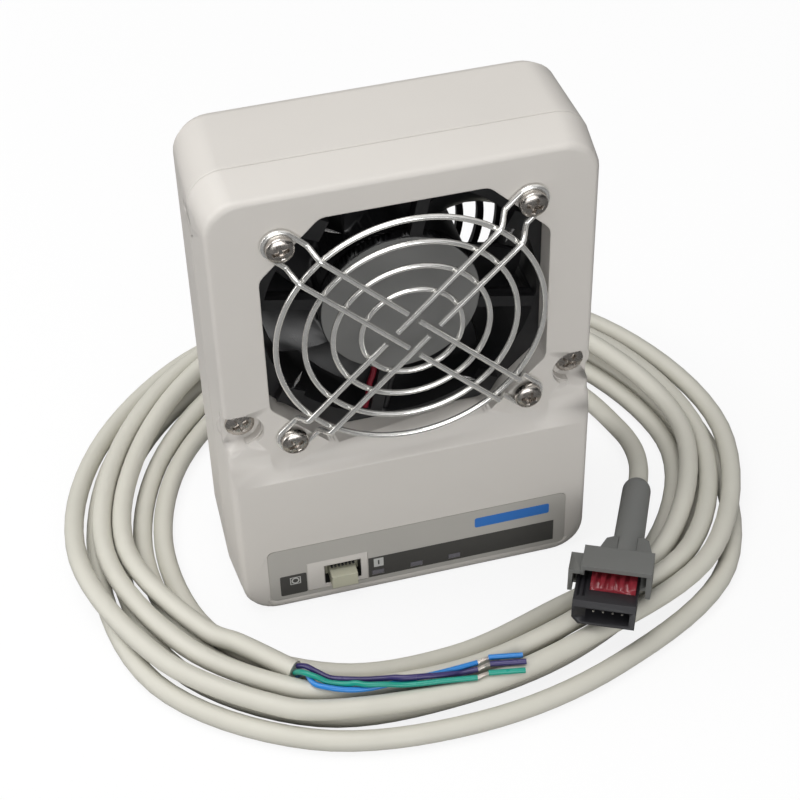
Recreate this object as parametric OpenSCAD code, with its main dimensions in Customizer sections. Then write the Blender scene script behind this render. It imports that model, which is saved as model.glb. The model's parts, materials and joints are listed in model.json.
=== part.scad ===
// Compact fan ionizing blower with its power cable lying coiled round it.
// The front panel faces -Y, the case stands on its flat base, and the fan blows forwards.

/* [Case] */
// Width of the case at the joint between its two covers
body_w = 80; // [78:1:90]
// Height of the case
body_h = 110; // [108:1:125]
// Depth from the upper front panel to the rear face
case_depth = 32; // [32:0.5:40]
// How far the lower front stands out from the upper panel
step_out = 2.5; // [1.5:0.5:3]
// Wall thickness of both covers
wall = 2; // [1.8:0.1:2.2]
// Corner radius of the case seen from the front
corner_r = 7; // [5:0.5:8]
// Depth of the joint between the covers behind the upper panel
seam_y = 10.5; // [10:0.5:12]

/* [Outlet] */
// Height of the fan centre above the base
fan_z = 73.3; // [72:0.1:75]
// Distance across the flats of the outlet opening
outlet_af = 58.6; // [58:0.2:60]
// Distance across the chamfered corners of the outlet opening
outlet_across = 65; // [64:0.5:66]

/* [Fan] */
// Side of the square fan frame
fan_size = 60; // [60:1:60]
// Depth of the fan frame
fan_depth = 25; // [25:1:25]
// Pitch of the fan's mounting holes
hole_pitch = 50; // [50:1:50]
// Diameter of the fan's air duct
duct_d = 57.4; // [57:0.2:58]
// Number of fan blades
blade_count = 7; // [5:1:9]
// Diameter of the fan's motor base and of the disc on it
motor_d = 33.4; // [32:0.2:35]

/* [Guard] */
// Diameter of the guard's wire
wire_d = 1.2; // [1:0.1:1.4]
// Half the distance between the two legs of each wire clip
leg_off = 3.1; // [2.6:0.1:3.3]
// Gap between a clip's inner end and the leg that it points at
leg_gap = 1.6; // [1.2:0.1:2]

/* [Switch] */
// Width of the switch window
window_w = 8.2; // [8:0.1:9]
// Height of the switch window
window_h = 5.6; // [5:0.1:6]
// Width of the sliding knob
knob_w = 5.8; // [5:0.1:6]

/* [Cable] */
// Diameter of the cable's jacket
cable_d = 4.4; // [4.4:0.1:4.4]
// Diameter of each insulated core
core_d = 1.2; // [1.2:0.1:1.2]

/* [Hidden] */

eps = 0.02;
fine = 64;
round_fn = 32;
guard_proud = 4.8;                    // guard's foremost point in front of the upper panel
mid_depth = (case_depth - guard_proud) / 2;
draft_side = 1.2;                     // how much each side has drawn in at the front face
front_edge = 1.2;                     // depth of the rounding round the front face
groove = 0.25;                        // the fine groove along the joint
ledge_top = 45;                       // where the upper panel turns out over the ledge
ledge_ridge = 38;                     // where the ledge meets the lower front
fan_face = 5.5;                       // fan frame's front face behind the upper panel
fan_back = fan_face + fan_depth;
hole_off = hole_pitch / 2;
guard_ring_y = -3.0;
guard_leg_y = -4.2;
ring_r = [27.6, 21.8, 16.0, 10.4];
board_y = 4.0;
case_screw_x = 35.4;
case_screw_z = 51.8;
pocket_r = 4.5;
pocket_y = 3.2;
switch_x = -16.8;
switch_z = 7.4;
led_x = [-8.9, -0.1, 8.6];
led_z = 4.9;
shaft_d = 3;

// Every piece is drawn with the upper panel at y = 0, then seated so that the
// middle of the case's depth stands over the origin.
module seat() translate([0, -mid_depth, 0]) children();

// A cylinder along Y, from depth y0 over length h.
module ycyl(d, h, x = 0, y0 = 0, z = 0, fn = fine)
    translate([x, y0, z]) rotate([-90, 0, 0]) cylinder(d = d, h = h, $fn = fn);

// A box given by its x, y and z limits.
module span(x, y, z)
    translate([x[0], y[0], z[0]]) cube([x[1] - x[0], y[1] - y[0], z[1] - z[0]]);

// A moulding lofted through rounded rectangles; each layer is
// [depth, half width, bottom, top, corner radius].
module lofted(layers)
    hull()
        for (l = layers, sx = [-1, 1], top = [0, 1])
            translate([sx * (l[1] - l[4]), l[0], top ? l[3] - l[4] : l[2] + l[4]])
                rotate([-90, 0, 0]) cylinder(r = l[4], h = eps, $fn = round_fn);

// The outlet's octagon: a square with its corners cut off and rounded.
module outlet_shape(af, across, y0, depth, r = 3)
    hull()
        for (a = [0 : 90 : 270], s = [-1, 1])
            rotate([0, a, 0])
                translate([af / 2 - r, y0, s * (across * sqrt(2) / 2 - af / 2 - r * 0.41)])
                    rotate([-90, 0, 0]) cylinder(r = r, h = depth, $fn = 24);

// ---------- covers ----------
half_w = body_w / 2;
front_half = half_w - draft_side;

module lower_wedge(ridge, top, front, back)
    translate([-half_w - 1, 0, 0]) rotate([90, 0, 90])
        linear_extrude(body_w + 2)
            polygon([[front - 1, -1], [front - 1, ridge - (top - ridge) / step_out],
                     [front, ridge], [0, top], [back, top], [back, -1]]);

module front_outer() {
    lofted([[seam_y - eps, half_w - groove, groove, body_h - groove, corner_r],
            [seam_y - 0.3, half_w, 0, body_h, corner_r],
            [front_edge, front_half + 0.3, 0, body_h - 0.8, corner_r],
            [0.3, front_half - 0.2, 0.3, body_h - 1.3, corner_r],
            [0, front_half - 0.9, 1, body_h - 2, corner_r]]);
    intersection() {
        lofted([[seam_y - 0.3, half_w, 0, body_h, corner_r],
                [front_edge - step_out, front_half, 0, body_h, corner_r],
                [0.3 - step_out, front_half - 0.5, 0.3, body_h, corner_r],
                [-step_out, front_half - 1.2, 1, body_h, corner_r]]);
        lower_wedge(ledge_ridge, ledge_top, -step_out, 4);
    }
}

module front_inner() {
    lofted([[wall, front_half - wall, wall, body_h - 0.8 - wall, corner_r - wall],
            [seam_y + 1, half_w - wall, wall, body_h - wall, corner_r - wall]]);
    lofted([[wall - step_out, front_half - wall - 0.5, wall, ledge_ridge - 1.5, 3],
            [wall + eps, front_half - wall, wall, ledge_top - 1.5, 3]]);
}

module guard_holes(d, y0, depth)
    for (sx = [-1, 1], sz = [-1, 1]) ycyl(d, depth, sx * hole_off, y0, fan_z + sz * hole_off);

module side_recess()
    for (sx = [-1, 1])
        translate([sx * half_w, 0, 97.6])
            union() {
                span([-1.5, 1.5], [10.3, 17.2], [-1.8, 1.8]);
                translate([-1.5, 10.3, 0]) rotate([0, 90, 0]) cylinder(r = 1.8, h = 3, $fn = fine);
                translate([-1.5, 17.2, 0]) rotate([0, 90, 0]) cylinder(r = 1.8, h = 3, $fn = fine);
            }

module front_cover() color("#d0cbc3") seat() difference() {
    union() {
        difference() {
            front_outer();
            front_inner();
        }
        translate([0, 0, fan_z])
            outlet_shape(outlet_af + 3, outlet_across + 3, wall - eps, fan_face - wall + eps);
        guard_holes(7.4, wall - eps, fan_face - wall + eps);
        for (sx = [-1, 1]) {
            span([sx * 35.3 - 3.0, sx * 35.3 + 3.0], [wall, seam_y - 0.1],  // under the case screws
                 [case_screw_z - 5.6, case_screw_z + 5.6]);
            ycyl(6, board_y + 0.6, sx * 31, -0.6, 8);       // posts for the control board
        }
    }
    for (sx = [-1, 1]) ycyl(2.06, board_y, sx * 31, 0.2, 8);
    translate([0, 0, fan_z]) outlet_shape(outlet_af, outlet_across, -5, 15);
    guard_holes(3.0, -5, 15);
    hull()                                                  // the guard's clearance in the ledge
        for (sx = [-1, 1], z = [44, 60]) {
            translate([sx * 26, -step_out - eps, z])
                rotate([-90, 0, 0]) cylinder(r = 5.6, h = eps, $fn = round_fn);
            translate([sx * 26, -eps, z])
                rotate([-90, 0, 0]) cylinder(r = 4, h = eps, $fn = round_fn);
        }
    for (sx = [-1, 1]) {                                    // pockets open to the sides
        ycyl(2 * pocket_r, pocket_y + 5, sx * case_screw_x, -5, case_screw_z);
        span([sx * (case_screw_x + 3) - 3, sx * (case_screw_x + 3) + 3], [-5, pocket_y],
             [case_screw_z - pocket_r, case_screw_z + pocket_r]);
        ycyl(3.0, 20, sx * case_screw_x, -5, case_screw_z);
    }
    span([switch_x - window_w / 2, switch_x + window_w / 2], [-step_out - 1, 5],
         [switch_z - window_h / 2, switch_z + window_h / 2]);
    for (x = led_x) span([x - 1.5, x + 1.5], [-step_out - 1, 5], [led_z - 0.8, led_z + 0.8]);
    label_form(0.25, 0.15);
    side_recess();
}

module rear_cover() color("#d2cdc5") seat() difference() {
    union() {
        difference() {
            lofted([[seam_y, half_w - groove, groove, body_h - groove, corner_r],
                    [seam_y + 0.3, half_w, 0, body_h, corner_r],
                    [case_depth - 3, half_w - 0.5, 0, body_h - 0.3, corner_r],
                    [case_depth - 0.8, half_w - 1.3, 0.5, body_h - 1.1, corner_r],
                    [case_depth - eps, half_w - 2.6, 1.6, body_h - 2.4, corner_r - 1]]);
            lofted([[seam_y - 1, half_w - wall, wall, body_h - wall, corner_r - wall],
                    [fan_back - eps, half_w - wall - 0.5, wall, body_h - wall - 0.3,
                     corner_r - wall]]);
        }
        for (sx = [-1, 1])                                  // posts for the case screws
            ycyl(5.6, fan_back - seam_y + eps, sx * case_screw_x, seam_y, case_screw_z);
        span([-14, 14], [fan_back - 2, fan_back + eps], [6, 34]);
    }
    ycyl(duct_d + 0.7, 10, 0, fan_back - 4, fan_z);
    for (sx = [-1, 1]) ycyl(2.6, 15, sx * case_screw_x, seam_y - 1, case_screw_z);
    span([-9.1, 7.4], [case_depth - 12, case_depth + 1], [15.6, 24.4]);
    side_recess();
}

// ---------- front label, indicators and switch ----------
label_x = [-33.2, 34.2];
label_z = [2.3, 17.7];
cut_x = [-24.8, -11.1];
cut_z = [3.4, 12.0];

module label_form(depth, grow = 0) difference() {
    union() {
        span([label_x[0] - grow + 1.6, label_x[1] + grow - 1.6], [-step_out - 0.1, -step_out + depth],
             [label_z[0] - grow, label_z[1] + grow]);
        span([label_x[0] - grow, label_x[1] + grow], [-step_out - 0.1, -step_out + depth],
             [label_z[0] - grow + 1.6, label_z[1] + grow - 1.6]);
        for (x = [label_x[0] - grow + 1.6, label_x[1] + grow - 1.6],
             z = [label_z[0] - grow + 1.6, label_z[1] + grow - 1.6])
            ycyl(3.2, depth + 0.1, x, -step_out - 0.1, z, 32);
    }
    span([cut_x[0] + grow, cut_x[1] - grow], [-step_out - 1, 0], [cut_z[0] + grow, cut_z[1] - grow]);
}

module front_label() color("#9a978c") seat() difference() {
    intersection() {
        label_form(0.22);
        span([-40, 40], [-step_out + 0.02, 0], [0, 30]);
    }
    for (x = led_x) span([x - 1.4, x + 1.4], [-step_out - 1, 1], [led_z - 0.7, led_z + 0.7]);
}

module indicator_lenses() color("#6f6a78") seat()
    for (x = led_x) {
        span([x - 1.35, x + 1.35], [-step_out + 0.05, 0.4], [led_z - 0.65, led_z + 0.65]);
        span([x - 1.75, x + 1.75], [wall - step_out + 0.04, 0.4], [led_z - 1.2, led_z + 1.2]);
    }

module indicator_leds() color("#e8e6da") seat()
    for (x = led_x) span([x - 1.2, x + 1.2], [0.42, board_y], [led_z - 0.7, led_z + 0.7]);

module switch_body() color("#1c1c1e") seat() difference() {
    span([switch_x - 5.8, switch_x + 5.8], [wall - step_out + 0.05, board_y],
         [switch_z - 4.2, switch_z + 4.2]);
    span([switch_x - 5.2, switch_x + 5.2], [-1, 2.6],
         [switch_z - window_h / 2 - 0.2, switch_z + window_h / 2 + 0.2]);
}

module switch_slider() color("#d9d7c4") seat() {
    span([switch_x - knob_w / 2, switch_x + knob_w / 2], [-4.6, 1.2], [switch_z - 2.6, switch_z + 0.9]);
    difference() {
        span([switch_x - 4, switch_x + 4], [0.2, 2.5], [switch_z - 2.6, switch_z + 2.6]);
        for (i = [-3 : 3])
            span([switch_x + i * 1.1 - 0.25, switch_x + i * 1.1 + 0.25], [-0.5, 0.9],
                 [switch_z + 1.0, switch_z + 3]);
    }
}

// ---------- electronics ----------
board_t = 1.6;
board_back = board_y + board_t;
module control_board() color("#2f6b45") seat() difference() {
    span([-34, 34], [board_y, board_back], [3, 38]);
    for (sx = [-1, 1]) ycyl(2.4, 4, sx * 31, 3, 8);
}

module board_screws() color("#b7b2ab") seat()
    for (sx = [-1, 1])
        translate([sx * 31, board_back, 8]) rotate([90, 0, 0]) pan_screw(4.4, 1.5, 2.0, 4.8);

// Two potted converters stand on the board, one for each polarity.
module high_voltage_module() color("#22242a") seat() {
    span([-31, -15.5], [board_back, 19], [12, 33]);
    span([15.5, 31], [board_back, 19], [12, 33]);
}

module power_receptacle() color("#26262a") seat() difference() {
    span([-8.8, 7.1], [board_back, case_depth - 0.4], [16, 24]);
    span([-7.65, 5.95], [18, case_depth + 1], [17, 23.2]);
    for (i = [0 : 3]) ycyl(1.04, 16, (i - 1.5) * 2, board_back - 1, 20, 24);
}

module receptacle_pins() color("#c9b26a") seat()
    for (i = [0 : 3]) ycyl(1.0, 19, (i - 1.5) * 2, board_back, 20, 24);

// ---------- emitter needles ----------
// Needles stand at four places round the duct's edge, each tilted from the radius.
needle_a = [34, 124, 214, 304];
needle_tilt = 28;
needle_y = 4.4;

module at_needle(a) translate([0, needle_y, fan_z]) rotate([0, -a, 0]) translate([28.4, 0, 0])
    rotate([0, 180 - needle_tilt, 0]) children();

module needle_holders() color("#17171a") seat()
    for (a = needle_a) difference() {
        at_needle(a) span([-3.4, 0.6], [-1.1, fan_face - needle_y], [-2.4, 2.4]);
        at_needle(a) rotate([0, 90, 0]) translate([0, 0, -3]) cylinder(d = 0.84, h = 6, $fn = 24);
    }

module emitter_needles() color("#c4c7cb") seat()
    for (a = needle_a) at_needle(a) rotate([0, 90, 0]) {
        translate([0, 0, -2.6]) cylinder(d = 0.8, h = 5.2, $fn = 24);
        translate([0, 0, 2.6]) cylinder(d1 = 0.8, d2 = 0.1, h = 2, $fn = 24);
    }

module needle_leads() color("#b8b8b8") seat()
    for (sx = [-1, 1])
        span([sx * 31.4 - 0.5, sx * 31.4 + 0.5], [board_back + 0.4, board_back + 1.4], [33.1, 92]);

// ---------- fan ----------
module rounded_plate(s, r, y0, t) {
    span([-s / 2 + r, s / 2 - r], [y0, y0 + t], [fan_z - s / 2, fan_z + s / 2]);
    span([-s / 2, s / 2], [y0, y0 + t], [fan_z - s / 2 + r, fan_z + s / 2 - r]);
    for (sx = [-1, 1], sz = [-1, 1])
        ycyl(2 * r, t, sx * (s / 2 - r), y0, fan_z + sz * (s / 2 - r));
}

strut_a = [78, 168, 258, 348];
module fan_frame() color("#1b1b1d") seat() {
    difference() {
        union() {
            rounded_plate(fan_size, 3, fan_face, 3.6);
            rounded_plate(fan_size, 3, fan_back - 3.6, 3.6);
            ycyl(duct_d + 2.4, fan_depth, 0, fan_face, fan_z, 96);
            for (sx = [-1, 1], sz = [-1, 1])
                ycyl(7, fan_depth, sx * hole_off, fan_face, fan_z + sz * hole_off);
        }
        ycyl(duct_d, fan_depth + 2, 0, fan_face - 1, fan_z, 96);
        guard_holes(3.0, fan_face - 1, fan_depth + 2);
    }
    difference() {
        union() {
            ycyl(motor_d, 2.2, 0, fan_face + 0.3, fan_z, 96);
            ycyl(7.4, 14.5, 0, fan_face + 0.3, fan_z);
            for (a = strut_a)
                translate([0, 0, fan_z]) rotate([0, -a, 0])
                    span([motor_d / 2 - 0.6, duct_d / 2 + 0.6], [fan_face + 0.3, fan_face + 3.3],
                         [-1.3, 1.3]);
        }
        ycyl(6.0, 5, 0, fan_face + 11.2, fan_z);
        ycyl(6.0, 3.7, 0, fan_face + 0.9, fan_z);
        ycyl(4.4, 20, 0, fan_face + 1.6, fan_z);
    }
}

module front_bearing() color("#b9bcc0") seat() difference() {
    ycyl(5.98, 2.5, 0, fan_face + 2.0, fan_z);
    ycyl(shaft_d + 0.06, 6, 0, fan_face, fan_z);
}

module rear_bearing() color("#b9bcc0") seat() difference() {
    ycyl(5.98, 2.5, 0, fan_face + 11.25, fan_z);
    ycyl(shaft_d + 0.06, 6, 0, fan_face + 10, fan_z);
}

module rotor_shaft() color("#c8cace") seat() difference() {
    ycyl(shaft_d, 20.2, 0, fan_face + 1.0, fan_z);
    difference() {                                          // groove for the circlip
        ycyl(shaft_d + 2, 0.34, 0, fan_face + 1.63, fan_z);
        ycyl(shaft_d - 0.6, 2, 0, fan_face + 1, fan_z);
    }
}

module shaft_circlip() color("#8d9095") seat() difference() {
    ycyl(4.3, 0.26, 0, fan_face + 1.68, fan_z);
    ycyl(shaft_d - 0.5, 2, 0, fan_face + 1, fan_z);
    span([-0.9, 0.9], [fan_face, fan_face + 3], [fan_z - 4, fan_z]);
}

module fan_stator() color("#8a8d92") seat() difference() {
    union() {
        ycyl(11, 8.2, 0, fan_face + 4.6, fan_z);
        for (a = [0 : 90 : 270])
            translate([0, 0, fan_z]) rotate([0, a, 0]) {
                span([5, 10.5], [fan_face + 5.8, fan_face + 11.6], [-1.4, 1.4]);
                intersection() {
                    difference() {
                        ycyl(26, 5.8, 0, fan_face + 5.8, 0);
                        ycyl(20.6, 8, 0, fan_face + 5, 0);
                    }
                    span([6, 14], [fan_face, fan_face + 15], [-7.4, 7.4]);
                }
            }
    }
    ycyl(7.5, 12, 0, fan_face + 3, fan_z);
}

module stator_windings() color("#b4622f") seat()
    for (a = [0 : 90 : 270])
        translate([0, 0, fan_z]) rotate([0, a, 0]) difference() {
            span([5.9, 9.9], [fan_face + 4.7, fan_face + 12.7], [-2.5, 2.5]);
            span([5, 11], [fan_face + 5.75, fan_face + 11.65], [-1.45, 1.45]);
        }

module motor_board() color("#3b6f4c") seat() difference() {
    ycyl(25, 1.0, 0, fan_face + 2.9, fan_z);
    ycyl(7.6, 4, 0, fan_face + 2, fan_z);
}

module motor_disc() color("#6c6d6b") seat() ycyl(motor_d - 0.4, 0.25, 0, fan_face + 0.02, fan_z, 96);

module rotor_yoke() color("#7d8084") seat() difference() {
    ycyl(30.6, 11.9, 0, fan_face + 4.3, fan_z, 96);
    ycyl(29.2, 10.9, 0, fan_face + 4.2, fan_z, 96);
    ycyl(6.2, 4, 0, fan_face + 14, fan_z);
}

module rotor_magnet() color("#3a3b3e") seat() difference() {
    ycyl(29.18, 7.5, 0, fan_face + 4.8, fan_z, 96);
    ycyl(26.8, 9, 0, fan_face + 4, fan_z, 96);
}

// Fan blades: each is a cambered section swept outwards, its pitch falling with radius.
hub_d = 33;
tip_d = 55.6;
blade_y = fan_face + 13.2;
blade_steps = 5;
chord_pts = 6;
function chord_len(u) = 15.5 + 7 * u;
function pitch_at(u) = 44 - 17 * u;
function sweep_at(u) = -9 + 20 * u;
function camber(s, u) = 1.5 * (1 - pow(2 * s - 1, 2)) * (1 - 0.3 * u);
function half_t(s) = 0.45 + 0.25 * sin(180 * s);
function blade_pt(u, s, side) =
    let (r = hub_d / 2 - 0.6 + u * (tip_d - hub_d + 1.2) / 2,
         c = (s - 0.5) * chord_len(u),
         n = camber(s, u) + side * half_t(s),
         along = c * cos(pitch_at(u)) + n * sin(pitch_at(u)),
         y = c * sin(pitch_at(u)) - n * cos(pitch_at(u)),
         a = sweep_at(u) + along / r * 180 / PI)
    [r * cos(a), blade_y + y, r * sin(a)];
function blade_ring(u) = concat(
    [for (i = [0 : chord_pts]) blade_pt(u, i / chord_pts, 1)],
    [for (i = [chord_pts : -1 : 0]) blade_pt(u, i / chord_pts, -1)]);
ring_n = 2 * (chord_pts + 1);

module blade()
    polyhedron(
        points = [for (k = [0 : blade_steps]) each blade_ring(k / blade_steps)],
        faces = concat(
            [[for (i = [ring_n - 1 : -1 : 0]) i]],
            [[for (i = [0 : ring_n - 1]) blade_steps * ring_n + i]],
            [for (k = [0 : blade_steps - 1], i = [0 : ring_n - 1])
                let (a = k * ring_n + i, b = k * ring_n + (i + 1) % ring_n)
                each [[a, b + ring_n, a + ring_n], [a, b, b + ring_n]]]));

module fan_impeller() color("#151517") seat() {
    difference() {
        ycyl(hub_d, 18.6, 0, fan_face + 3.6, fan_z, 96);
        ycyl(30.64, 12.8, 0, fan_face + 3.5, fan_z, 96);
        ycyl(shaft_d + 0.02, 40, 0, fan_face, fan_z);
        ycyl(26, 2, 0, fan_face + 21.2, fan_z);
    }
    difference() {
        ycyl(6.18, 3.2, 0, fan_face + 14.9, fan_z);
        ycyl(shaft_d + 0.02, 40, 0, fan_face, fan_z);
    }
    intersection() {
        translate([0, 0, fan_z])
            for (i = [0 : blade_count - 1]) rotate([0, i * 360 / blade_count, 0]) blade();
        difference() {
            ycyl(tip_d, 19.6, 0, fan_face + 4.1, fan_z, 96);
            ycyl(hub_d - 0.2, 60, 0, 0, fan_z, 96);
        }
    }
}

module fan_leads() color("#8e1f2b") seat()
    for (i = [0, 1])
        translate([0, 0, fan_z]) rotate([0, -258, 0])
            translate([motor_d / 2 + 0.1, fan_face + 1.5, (i ? 2.2 : -2.2)])
                rotate([0, 90, 0]) cylinder(d = 1.3, h = duct_d / 2 - motor_d / 2 - 0.4, $fn = 24);

// ---------- rear grille ----------
grille_r = [24.2, 19.7, 15.2, 10.7];
module rear_grille() color("#1a1a1c") seat() {
    y0 = fan_back;
    t = case_depth - fan_back - 0.1;
    difference() {
        ycyl(duct_d + 0.6, t, 0, y0, fan_z, 96);
        ycyl(duct_d - 2.0, 5, 0, y0 - 1, fan_z, 96);
    }
    for (r = grille_r)
        difference() {
            ycyl(2 * r + 1.4, t, 0, y0, fan_z, 96);
            ycyl(2 * r - 1.4, 5, 0, y0 - 1, fan_z, 96);
        }
    for (a = [45 : 90 : 315])
        translate([0, 0, fan_z]) rotate([0, a, 0])
            span([10.2, duct_d / 2 - 0.4], [y0, y0 + t], [-0.8, 0.8]);
}

// ---------- wire finger guard ----------
corner_t = hole_off * sqrt(2);
jog_in = 28.2;
jog_out = 31.2;
eye_y = -wire_d / 2 - 0.02;

module rod(p, q, d = wire_d) {
    v = q - p;
    len = norm(v);
    translate(p) rotate([0, acos(v[2] / len), atan2(v[1], v[0])]) cylinder(d = d, h = len, $fn = 24);
}

module bead(p) translate(p) sphere(d = wire_d, $fn = 24);

// One clip: two legs to the middle, a jog down to the panel and an eye round the screw.
module guard_clip() {
    for (s = [-1, 1]) {
        inner = s > 0 ? leg_off + leg_gap : leg_gap - leg_off;
        a = [inner, guard_leg_y, s * leg_off];
        b = [jog_in, guard_leg_y, s * leg_off];
        c = [jog_out, eye_y, s * leg_off];
        e = [corner_t, eye_y, s * leg_off];
        rod(a, b);
        rod(b, c);
        rod(c, e);
        bead(b);
        bead(c);
    }
    translate([corner_t, eye_y, 0]) rotate([-90, 0, 0]) rotate([0, 0, -90])
        rotate_extrude(angle = 180, $fn = fine) translate([leg_off, 0]) circle(d = wire_d, $fn = 24);
}

module finger_guard() color("#c8c8c6") seat() translate([0, 0, fan_z]) {
    for (r = ring_r)
        translate([0, guard_ring_y - 0.05, 0]) rotate([90, 0, 0])
            rotate_extrude($fn = 96) translate([r, 0]) circle(d = wire_d, $fn = 24);
    for (a = [45 : 90 : 315]) rotate([0, a, 0]) guard_clip();
}

// ---------- screws ----------
module pan_screw(head_d, head_h, shank_d, len) difference() {
    union() {
        rotate_extrude($fn = fine)
            intersection() {
                translate([0, -head_h]) square([head_d / 2, head_h]);
                translate([0, head_d * 0.62 - head_h]) circle(r = head_d * 0.62, $fn = fine);
            }
        cylinder(d = shank_d, h = len, $fn = fine);
    }
    for (a = [0, 90]) rotate([0, 0, a])
        translate([-head_d * 0.27, -head_d * 0.065, -head_h - 1]) cube([head_d * 0.54, head_d * 0.13, 2]);
}

module guard_screws() color("#b7b2ab") seat()
    for (sx = [-1, 1], sz = [-1, 1])
        translate([sx * hole_off, -wire_d - 0.04, fan_z + sz * hole_off])
            rotate([0, 20 * sx + 15 * sz, 0]) rotate([-90, 0, 0]) pan_screw(6.2, 2.1, 2.94, 20);

module case_screws() color("#b7b2ab") seat()
    for (sx = [-1, 1])
        translate([sx * case_screw_x, pocket_y, case_screw_z])
            rotate([0, 12 * sx, 0]) rotate([-90, 0, 0]) pan_screw(6.0, 2.0, 2.56, 18);

// ---------- plug ----------
plug_tip = [32.0, -36.3, 10.95];      // middle of the mouth's lower edge
plug_turn = -26;
plug_tilt = 6.5;
boot_at = [2.0, 16.1, 3.2];
boot_len = 26.4;
boot_d = 6.8;
boot_end_d = 6.4;

// Plug pieces are drawn with the mouth at y = 0 and the cable leaving along +Y.
module at_plug() seat() translate(plug_tip) rotate([0, 0, plug_turn]) rotate([-plug_tilt, 0, 0]) children();
module at_boot() at_plug() translate(boot_at) children();

module plug_body() color("#232226") at_plug() difference() {
    translate([-7.5, 0, 0]) rotate([90, 0, 90]) linear_extrude(13.3)
        polygon([[0, 0], [0, 4.7], [0.9, 5.7], [16, 5.7], [16, 0]]);
    span([-4.65, 4.6], [-1, 7], [0.9, 4.4]);                // mouth
    span([-4.35, 5.35], [4.55, 9.85], [4.9, 6.5]);          // seat of the clear window
    translate([-8, -1, 0]) rotate([-90, 0, 0]) linear_extrude(20)
        polygon([[-1, 1], [1.9, 1], [1.9, 0], [0.5, -1.7], [-1, -1.7]]);
    for (x = [-6.6, -5.4]) span([x - 0.25, x + 0.25], [2.4, 12], [5.2, 6]);
}

module plug_window() color("#8c1f2c") at_plug() difference() {
    span([-4.3, 5.3], [4.6, 9.8], [4.92, 7.2]);
    for (i = [0 : 3]) span([-3.3 + i * 2, -2.3 + i * 2], [4, 9.2], [6.5, 8]);
}

module plug_contacts() color("#c9b26a") at_plug()
    for (i = [0 : 3]) span([(i - 1.5) * 2 - 0.2, (i - 1.5) * 2 + 0.2], [1.2, 7.02], [2.65, 3.05]);

module plug_hood() color("#6e6f6c") difference() {
    at_plug() difference() {
        union() {
            span([-6.6, 8.3], [7.0, 14], [8.8, 9.9]);           // plate over the window
            span([-6.6, -5.9], [7.0, 14], [7.4, 9.9]);
            span([-9.3, -5.9], [7.3, 13], [7.3, 8.3]);          // the step beside it
            span([-9.3, -8.35], [7.3, 13], [2.5, 8.3]);
            span([7.15, 8.3], [7.2, 14], [2.8, 9.9]);
            span([-9.3, 8.3], [11.4, 13], [1.2, 8.3]);
            span([-6.6, 8.3], [11.4, 16.1], [1.2, 6.6]);
            span([-6.6, 8.3], [11.4, 14], [6, 9.9]);
            translate([0, 0, 1]) linear_extrude(5)              // neck round the boot's root
                polygon([[-6, 14], [-4.4, 16.4], [-2.6, 21.8], [-1.2, 22.6], [5.4, 23.2],
                         [6.5, 22.4], [8.0, 16.4], [8.3, 14]]);
        }
        span([-7.55, 5.85], [5, 16.05], [-1, 5.75]);
    }
    at_boot() ycyl(boot_d + 0.1, 40, 0, -0.02, 0);
}

module cable_boot() color("#6b6c69") at_boot() difference() {
    union() {
        rotate([-90, 0, 0]) cylinder(d1 = boot_d, d2 = boot_end_d, h = boot_len, $fn = fine);
        translate([0, boot_len - eps, 0]) rotate([-90, 0, 0]) rotate_extrude($fn = fine)
            intersection() {
                circle(d = boot_end_d, $fn = fine);
                square([4, 2.5]);
            }
    }
    ycyl(cable_d + 0.1, 20, 0, 16, 0);
}

// ---------- cable ----------
// The cable lies in loops round the case.  Each row is one turn, read every 30 degrees
// from the right-hand side round the back: its distance from the loops' middle, and below
// it the height of its centre.
coil_mid = [1, 18];
coil_step = 30;
turn_r = [
    [58.0, 58.0, 57.0, 55.5, 54.5, 54.0, 54.3, 55.0, 50.6, 46.0, 46.2, 58.0],
    [66.4, 65.4, 64.8, 64.8, 64.8, 65.0, 65.0, 66.5, 62.5, 56.5, 57.6, 64.1],
    [71.0, 70.0, 69.4, 69.5, 69.6, 69.7, 69.7, 72.4, 68.5, 64.5, 66.5, 75.6],
    [75.6, 74.8, 74.2, 74.2, 74.4, 74.4, 73.6, 69.2, 64.3, 58.4, 59.5, 72.2],
    [78.6, 77.2, 75.0, 71.5, 69.5, 67.7, 67.4, 63.4, 59.0, 53.2, 54.2, 67.2],
    [73.3, 72.2, 69.0, 63.5, 59.6, 58.8, 59.0, 59.8, 56.0, 50.8, 51.2, 61.8],
    [69.0, 67.2, 66.0, 65.8, 65.0, 63.0, 62.8, 57.3]];
turn_z = [
    [2.6, 2.25, 2.25, 2.25, 2.25, 2.25, 2.25, 2.25, 2.25, 2.25, 2.25, 2.25],
    [2.25, 2.25, 2.25, 2.25, 2.25, 2.25, 2.25, 2.25, 2.25, 2.25, 2.25, 2.25],
    [2.25, 2.25, 2.25, 2.25, 2.25, 2.25, 2.25, 2.25, 2.25, 2.25, 2.25, 2.25],
    [2.25, 2.25, 2.25, 2.25, 2.25, 3.0, 6.8, 6.8, 6.6, 6.2, 6.4, 6.9],
    [6.9, 6.7, 6.7, 6.7, 6.7, 6.7, 6.6, 6.7, 6.4, 6.2, 6.7, 6.8],
    [6.2, 6.7, 6.7, 6.7, 4.0, 2.25, 2.25, 2.25, 2.25, 2.25, 2.25, 6.5],
    [8.9, 10.2, 11.2, 11.2, 8.4, 6.8, 6.7, 6.5]];
lead_in = [[56.1, 9.5, 8.2], [57.8, 17.5, 6.3], [57.7, 27, 4.0]];
jacket_end = [-33.0, -26.2, 6.5];
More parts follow.
